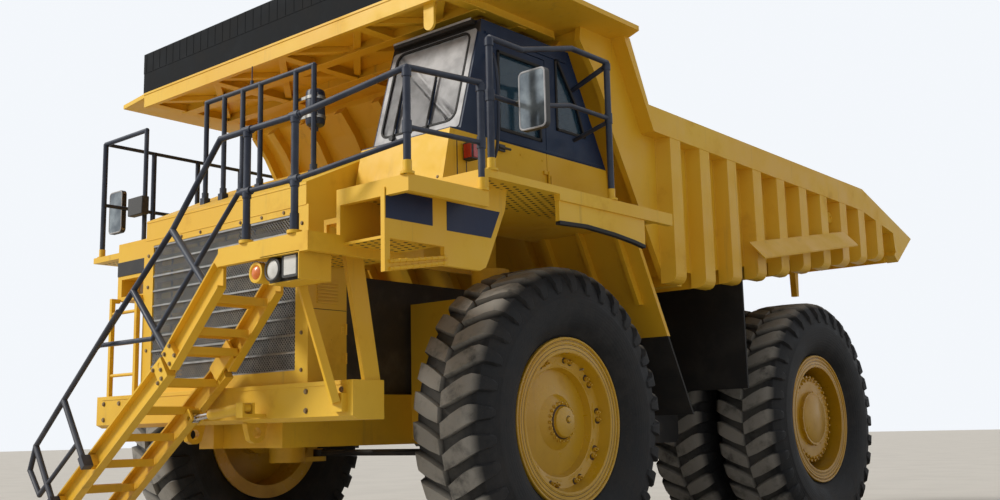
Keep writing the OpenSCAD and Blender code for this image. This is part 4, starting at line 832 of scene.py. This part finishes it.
# handrails: feet on the decks, and places along the left rail where sleeves and caps sit
railLook = {"tube": 0.024, "left": 2.82, "hoodY": -1.6,
            "sleeves": [(-2.38, 3.39), (-1.60, 3.42), (-1.49, 3.815), (0.08, 3.95)],
            "feet": [(2.82, -2.38, 3.05), (2.82, -1.60, 3.05), (2.82, -1.49, 3.22), (2.82, 0.08, 3.22)]
            + [(-2.82, y, 3.22) for y in (-1.48, -0.88, -0.30, 0.30, 0.90)],
            "caps": [(-2.38, 3.826), (-1.60, 3.89), (-1.49, 4.278), (0.08, 4.46)],
            "hoodPosts": (-0.74, -0.45, -0.16, 0.11, 0.62, 0.87)}


def makeRailFittings(look):
    # cast sockets where posts meet rails and deck, in dark and yellow paint
    sockets, feet = bmesh.new(), bmesh.new()
    tube, y = look["tube"], -2.675
    for x in (1.39, 1.96):
        addPost(feet, x, y, 2.712, 2.735, 0.055, 20)
        addPost(sockets, x, y, 2.735, 2.86, tube + 0.010)
        for z in (3.59, 3.113):
            addRod(sockets, (x - 0.05, y, z), (x + 0.05, y, z), tube + 0.008, 16)
            addPost(sockets, x, y, z - 0.055, z - 0.01, tube + 0.011)
    for x, y, z in look["feet"]:
        addPost(feet, x, y, z + 0.001, z + 0.018, 0.052, 20)
        addPost(feet, x, y, z + 0.018, z + 0.10, tube + 0.009)
    for y, z in look["sleeves"]:
        addPost(sockets, look["left"], y, z - 0.045, z + 0.045, tube + 0.011)
    for y, z in look["caps"]:
        addPost(sockets, look["left"], y, z - 0.070, z - 0.012, tube + 0.011)
    y = look["hoodY"]
    for x in look["hoodPosts"]:
        addPost(sockets, x, y, 3.548, 3.60, tube + 0.009)
    # rail that ties the frames on the hood together, and the whip aerial on it
    for a, b in ((-0.45, -0.16), (0.11, 0.62)):
        addRod(sockets, (a, y, 4.5), (b, y, 4.5), tube - 0.002, 16)
    addPost(sockets, -0.025, y, 4.515, 4.560, 0.016, 12)
    addPost(sockets, -0.025, y, 4.560, 4.700, 0.0055, 8)
    addPiece("railSockets", sockets, "rail")
    addPiece("railFeet", feet, "yellow")


canisterLook = {"at": (0.765, -1.495), "radius": 0.086, "low": 3.985, "high": 4.310, "straps": (4.06, 4.235)}


def makeCanister(look):
    # small air reservoir strapped behind the right hood frame's posts
    bm, straps = bmesh.new(), bmesh.new()
    x, y = look["at"]
    r, low, high = look["radius"], look["low"], look["high"]
    addTurned(bm, [(0.0, low - 0.018), (r * 0.55, low - 0.012), (r * 0.9, low + 0.006), (r, low + 0.03),
                   (r, high - 0.03), (r * 0.9, high - 0.006), (r * 0.55, high + 0.012), (0.0, high + 0.018)],
              (x, y, 0), upward, 32)
    addPost(bm, x + 0.02, y, low - 0.05, low - 0.01, 0.014, 10)
    addPiece("hoodCanister", bm, "rail")
    for z in look["straps"]:
        addTurned(straps, [(r - 0.002, z - 0.015), (r + 0.005, z - 0.015), (r + 0.005, z + 0.015),
                           (r - 0.002, z + 0.015)], (x, y, 0), upward, 32)
        addBox(straps, (0.600, -1.578, z - 0.014), (0.890, -1.568, z + 0.014))
    addPiece("canisterStraps", straps, "steel", bevel=0.001)


fenderLook = {"bands": [[(-2.400, 2.770), (-1.930, 2.770), (-1.930, 2.975), (-2.400, 2.975)],
                        [(-1.780, 2.755), (-1.285, 2.755), (-1.175, 2.975), (-1.780, 2.975)]],
              "skirt": [(-0.680, 2.935), (-0.300, 2.950), (0.100, 2.930), (0.400, 2.900), (0.560, 2.875)],
              "stepX": 2.626, "step": (-2.370, -1.790), "stepBars": ((2.412, 2.514), (2.464, 2.552))}


def makeFenderTrim(look):
    # blank dark bands on the plate beside the platform, rubber under the deck's skirt, the step's tread bars
    bands, rubber, bars = bmesh.new(), bmesh.new(), bmesh.new()
    for points in look["bands"]:
        addPlate(bands, points, 0.0025, "X", 2.6198)
    addPiece("fenderBands", bands, "navy")
    edge = look["skirt"]
    strip = [(y, z + 0.010) for y, z in edge] + [(y, z - 0.022) for y, z in reversed(edge)]
    for x in (2.788, -2.834):
        addPlate(rubber, strip, 0.046, "X", x)
    addPiece("skirtRubber", rubber, "rubber", bevel=0.003)
    x, (front, back) = look["stepX"], look["step"]
    for low, high in look["stepBars"]:
        addRod(bars, (x, front, low), (x, back, high), 0.013, 8)
        for i in range(9):
            y = front + 0.030 + i * 0.064
            z = low + (y - front) * (high - low) / (back - front)
            addRod(bars, (x, y, z), (x, y + 0.012, z + 0.002), 0.0165, 8)
    addPiece("stepBars", bars, "yellow")


# dark box hung on the right rail's inner post by two lugs
railBox = [((-2.130, -1.600, 3.570), (-1.860, -1.515, 3.760)),
           ((-2.020, -1.516, 3.600), (-1.980, -1.475, 3.625)),
           ((-2.020, -1.516, 3.705), (-1.980, -1.475, 3.730))]

makeGripPlates(deckLook)
makeTreadGrips("upperTreadGrips", stairLook["upperTreads"], stairLook["upper"], "chassis")
makeTreadGrips("lowerTreadGrips", stairLook["lowerTreads"], stairLook["lower"], "lower_stairs")
makeStairBolts(stairLook)
makeRailFittings(railLook)
makeCanister(canisterLook)
makeFenderTrim(fenderLook)
boxPiece("rightRailBox", "plastic", railBox, bevel=0.008)
print("front, decks and stairs made")


# cab

# sealX is the middle of the rubber on the left side; foot is where the leaning front meets the cab's body
cabLook = {"foot": (-1.250, 3.715), "lean": 0.280 / 1.005, "glass": (1.335, 2.195, 3.812, 4.606),
           "grey": (1.262, 2.268), "corner": 0.075, "rubber": 0.020, "sealX": 2.292,
           "sideWindows": ([(-0.77, 3.80), (-0.21, 3.80), (-0.21, 4.48), (-0.77, 4.48)],
                           [(0.03, 3.95), (0.44, 3.95), (0.33, 4.22), (0.06, 4.60), (0.03, 4.60)]),
           "wipers": (1.50, 1.90), "panelBolts": ((1.30, 2.23), (3.28, 3.64)),
           "trimBolts": (-0.80, -0.50, -0.20), "grooves": (-1.30, -1.19),
           "grabBar": [(2.292, -0.90, 3.50), (2.350, -0.90, 3.53), (2.350, -0.90, 4.40),
                       (2.292, -0.90, 4.43)]}


def shieldSpot(look, z):      # a place on the leaning front, turned with it
    y = look["foot"][0] + (z - look["foot"][1]) * look["lean"]
    return Matrix.Translation((0, y, z)) @ Matrix.Rotation(-math.atan(look["lean"]), 4, "X")


def addFrame(bm, corners, wide, deep, at):
    # flat frame of strips round an opening in a side, corners in order
    for first, last in zip(corners, corners[1:] + corners[:1]):
        run = Vector(last) - Vector(first)
        spot = Matrix.Translation((at, *first)) @ Matrix.Rotation(math.atan2(run.y, run.x), 4, "X")
        addBox(bm, (-deep / 2, -wide / 2, -wide / 2), (deep / 2, run.length + wide / 2, wide / 2), spot)


def makeWindshield(look):
    # rounded rubber round the glass, in a frame that leans with it
    frameRing, shield, blades, arms = [bmesh.new() for piece in range(4)]
    x0, x1, z0, z1 = look["glass"]
    spot = shieldSpot(look, z0)
    high = (z1 - z0) * math.hypot(1, look["lean"])
    corner, rubber = look["corner"], look["rubber"]
    opening = roundOutline(x0, x1, 0, high, corner)
    ring = roundOutline(x0 - rubber, x1 + rubber, -rubber, high + rubber, corner + rubber)
    addHoop(shield, ring, opening, -0.014, 0.006, spot)
    addHoop(frameRing, roundOutline(*look["grey"], -0.088, high + 0.030, 0.030), ring, -0.008, 0.004, spot)
    addPiece("windshieldSeal", shield, "rubber", bevel=0.004)
    addPiece("windshieldFrame", frameRing, "trim", bevel=0.003)
    for x in look["wipers"]:
        foot = shieldSpot(look, 3.765) @ Vector((x, -0.024, 0))
        addRod(arms, foot - Vector((0, 0.022, 0)), foot + Vector((0, 0.030, 0)), 0.024, 16)
        addRod(arms, foot, shieldSpot(look, 4.05) @ Vector((x, -0.030, 0)), 0.010, 8, 0.006)
        for y, radius in ((-0.028, 0.008), (-0.016, 0.005)):
            low, tip = [shieldSpot(look, z) @ Vector((x, y, 0)) for z in (3.86, 4.28)]
            addRod(blades, low, tip, radius, 6)
    addPiece("wiperArms", arms, "plastic")
    addPiece("wiperBlades", blades, "rubber")


def makeCab(look):
    seal, bolts, trim, latch = [bmesh.new() for piece in range(4)]
    # rubber round the door's window and the rear quarter window
    for corners in look["sideWindows"]:
        addFrame(seal, corners, 0.026, 0.016, look["sealX"])
    addPiece("sideWindowSeals", seal, "rubber", bevel=0.003)
    makeWindshield(look)
    # grooves in the side below the windshield, and bolts of the front panel
    grooves = [((2.2890, y - 0.005, 3.30), (2.2915, y + 0.005, 3.62)) for y in look["grooves"]]
    boxPiece("cabGrooves", "black", grooves)
    for x, z in product(*look["panelBolts"]):
        addBolt(bolts, (x, -1.48 + (z - 3.22) * 0.105 / 0.48, z), forward, 0.010, 0.008)
    addPiece("cabPanelBolts", bolts, "bolt")
    boxPiece("headerEdge", "trim", [((1.296, -1.0435, 4.706), (2.234, -1.0385, 4.7245))], bevel=0.001)
    addBox(trim, (2.288, -0.80, 3.70), (2.296, 0.70, 3.724))
    addBox(trim, (2.288, -0.93, 4.60), (2.300, 0.18, 4.622))
    for y in look["trimBolts"]:
        addBolt(trim, (2.29, y, 3.62), outward, 0.008, 0.006)
    addPiece("cabTrim", trim, "cab", bevel=0.002)
    addBox(latch, (2.291, -0.80, 3.60), (2.312, -0.72, 3.66))
    addRod(latch, (2.318, -0.81, 3.63), (2.318, -0.66, 3.63), 0.011, 10)
    addPiece("doorLatch", latch, "plastic", "cab_door", bevel=0.003)
    makeTube("cabGrabBar", look["grabBar"], 0.014, "rail")
    boxPiece("reflectorBox", "plastic", [((2.296, -1.235, 3.44), (2.400, -1.165, 3.585))], bevel=0.006)
    boxPiece("redReflector", "red", [((2.308, -1.242, 3.455), (2.392, -1.234, 3.572)),
                                     ((2.399, -1.225, 3.455), (2.405, -1.175, 3.572))], bevel=0.003)


mirrorLook = {"at": (3.020, -1.200, 3.800), "half": (0.135, 0.025, 0.240), "corner": 0.045, "tube": 0.0085}


def makeMirrors(look):
    # dark pane in front and behind, in a bright tube bent round the rounded shell
    x, y, z = look["at"]
    wide, deep, tall = look["half"]
    for side, name in ((1, "Left"), (-1, "Right")):
        faces, clamp = bmesh.new(), bmesh.new()

        def outline(inset, corner):
            return roundOutline(side * x - wide + inset, side * x + wide - inset,
                                z - tall + inset, z + tall - inset, corner)

        for at in (y + deep - 0.0005, y - deep - 0.003 + 0.0005):
            addPlate(faces, outline(0.014, 0.032), 0.003, "Y", at)
        addPiece("mirrorPanes" + name, faces, "pane")
        for words, at in (("Front", y - deep + 0.002), ("Back", y + deep - 0.002)):
            points = [(a, at, b) for a, b in outline(0.010, 0.036)]
            makeTube("mirror" + words + "Tube" + name, points, look["tube"], "trim", closed=True)
        for b in (z - 0.20, z + 0.20):
            addRod(clamp, (side * (x - 0.135), y, b), (side * (x - 0.118), y, b), 0.018, 12)
        addPiece("mirrorClamps" + name, clamp, "steel")


# cushions: name, low corner, high corner and degrees that they lean back
seatLook = {"bellows": (3.42, 3.45, 3.48, 3.51), "round": 0.035, "crown": 0.028,
            "cushions": (("seatCushion", (1.52, -0.60, 3.535), (2.01, -0.07, 3.665), 0.0),
                         ("seatBack", (1.54, -0.085, 3.68), (1.99, 0.045, 4.36), -9.0))}


def makeSeat(look):
    # sprung seat with a crowned cushion and back, seen through the glass
    bellows = [((1.605, -0.515, z - 0.010), (1.925, -0.165, z + 0.010)) for z in look["bellows"]]
    boxPiece("seatBellows", "rubber", [((1.60, -0.52, 3.272), (1.93, -0.16, 3.40))] + bellows, bevel=0.006)
    for name, low, high, tilt in look["cushions"]:
        bm = bmesh.new()
        addBox(bm, low, high)
        bmesh.ops.bevel(bm, geom=list(bm.edges), offset=look["round"], affect="EDGES", segments=2,
                        profile=0.5, material=-1)
        bmesh.ops.subdivide_edges(bm, edges=list(bm.edges), cuts=2, use_grid_fill=True)
        middle, size = (Vector(low) + Vector(high)) / 2, Vector(high) - Vector(low)
        thin = min(range(3), key=lambda i: size[i])
        for v in bm.verts:
            d = v.co - middle
            first, last = [min(1, abs(d[i]) / (size[i] / 2)) for i in range(3) if i != thin]
            v.co[thin] += look["crown"] * (1 - first ** 2) * (1 - last ** 2) * (1 if d[thin] > 0 else -0.2)
        if tilt:
            bmesh.ops.rotate(bm, verts=bm.verts, cent=low, matrix=Matrix.Rotation(math.radians(tilt), 3, "X"))
        piece = addPiece(name, bm, "cloth", angle=80)
        smooth = piece.modifiers.new("soft", "SUBSURF")
        smooth.levels = smooth.render_levels = 1
    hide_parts("driver_seat")


makeCab(cabLook)
makeMirrors(mirrorLook)
makeSeat(seatLook)
print("cab made")


# bed and canopy

bedLook = {"ribs": [1.43 + 0.556 * i for i in range(10)], "rib": 0.19, "side": 2.452,
           "bosses": ((3.175, 3.195), (5.240, 3.800))}


def floorZ(y):
    return 2.80 + max(0.0, y - 1.986) * 0.168


def railLowZ(y):
    return 4.09 - (y - 1.15) * 0.110 / 4.85


def makeBedDetail(look):
    seams, bosses = bmesh.new(), bmesh.new()
    for side in (1, -1):
        x = side * look["side"]
        for y in look["ribs"]:
            for edge in (y - 0.036, y + look["rib"] + 0.036):
                addRod(seams, (x, edge, floorZ(y) + 0.02), (x, edge, railLowZ(y) + 0.02), 0.007, 6)
        addRod(seams, (side * 2.600, 1.16, 4.092), (side * 2.600, 6.0, 3.982), 0.006, 6)
        axis = Vector((side, 0, 0))
        for y, z in look["bosses"]:
            addTurned(bosses, [(0.0, 0.012), (0.046, 0.012), (0.054, 0.004), (0.066, -0.002)],
                      (side * 2.495, y, z), axis, 32)
            addTurned(bosses, [(0.068, 0.014), (0.090, 0.010), (0.098, 0.0)], (side * 2.4505, y, z), axis, 32)
            addBolt(bosses, (side * 2.506, y, z), axis, 0.018, 0.014)
    addPiece("bedSeams", seams, "yellow", "bed")
    addPiece("bedBosses", bosses, "yellow", "bed")


canopyLook = {"bays": ((-2.15, -1.05), (-1.05, 0.02), (0.05, 1.10), (1.15, 2.15)), "bay": (-1.30, -0.36),
              "braceZ": 4.905, "flanges": (-2.175, -1.075, 0.025, 1.125, 2.175),
              "crossFlanges": (-0.87, -0.32),
              "lower": [((-2.252, -1.3835, 4.976), (2.252, -1.3795, 5.200))],
              "edge": [((-2.245, -1.3870, 4.955), (2.245, -1.3795, 4.976))], "ridges": 36, "ridgeHalf": 2.2}


def makeCanopyDetail(look):
    braces, upper = bmesh.new(), bmesh.new()
    # crossed braces in the bays under the roof, and edge flanges
    near, far = look["bay"]
    for x0, x1 in look["bays"]:
        for first, last in ((near, far), (far, near)):
            run = Vector((x1 - x0, last - first, 0))
            turn = Matrix.Rotation(math.atan2(run.y, run.x), 4, "Z")
            spot = Matrix.Translation((x0, first, look["braceZ"])) @ turn
            addBox(braces, (0.04, -0.035, -0.030), (run.length - 0.04, 0.035, 0.024), spot)
    for x in look["flanges"]:
        addBox(braces, (x - 0.055, -1.33, 4.846), (x + 0.055, 0.12, 4.856))
    for y in look["crossFlanges"]:
        addBox(braces, (-2.2, y - 0.06, 4.836), (2.2, y + 0.06, 4.846))
    addPiece("canopyBraces", braces, "yellow", "bed", bevel=0.003)
    # two dark plates on the canopy's front, the upper one with fine upright ridges
    boxPiece("rimPlateLower", "band", look["lower"], "bed")
    addBox(upper, (-2.254, -1.3865, 5.196), (2.254, -1.3795, 5.414))
    half = look["ridgeHalf"]
    for i in range(look["ridges"]):
        addPost(upper, -half + i * 2 * half / (look["ridges"] - 1), -1.3865, 5.205, 5.405, 0.0035, 6)
    addPiece("rimPlateUpper", upper, "band", "bed")
    boxPiece("canopyEdge", "yellow", look["edge"], "bed")


makeBedDetail(bedLook)
makeCanopyDetail(canopyLook)
print("bed made")
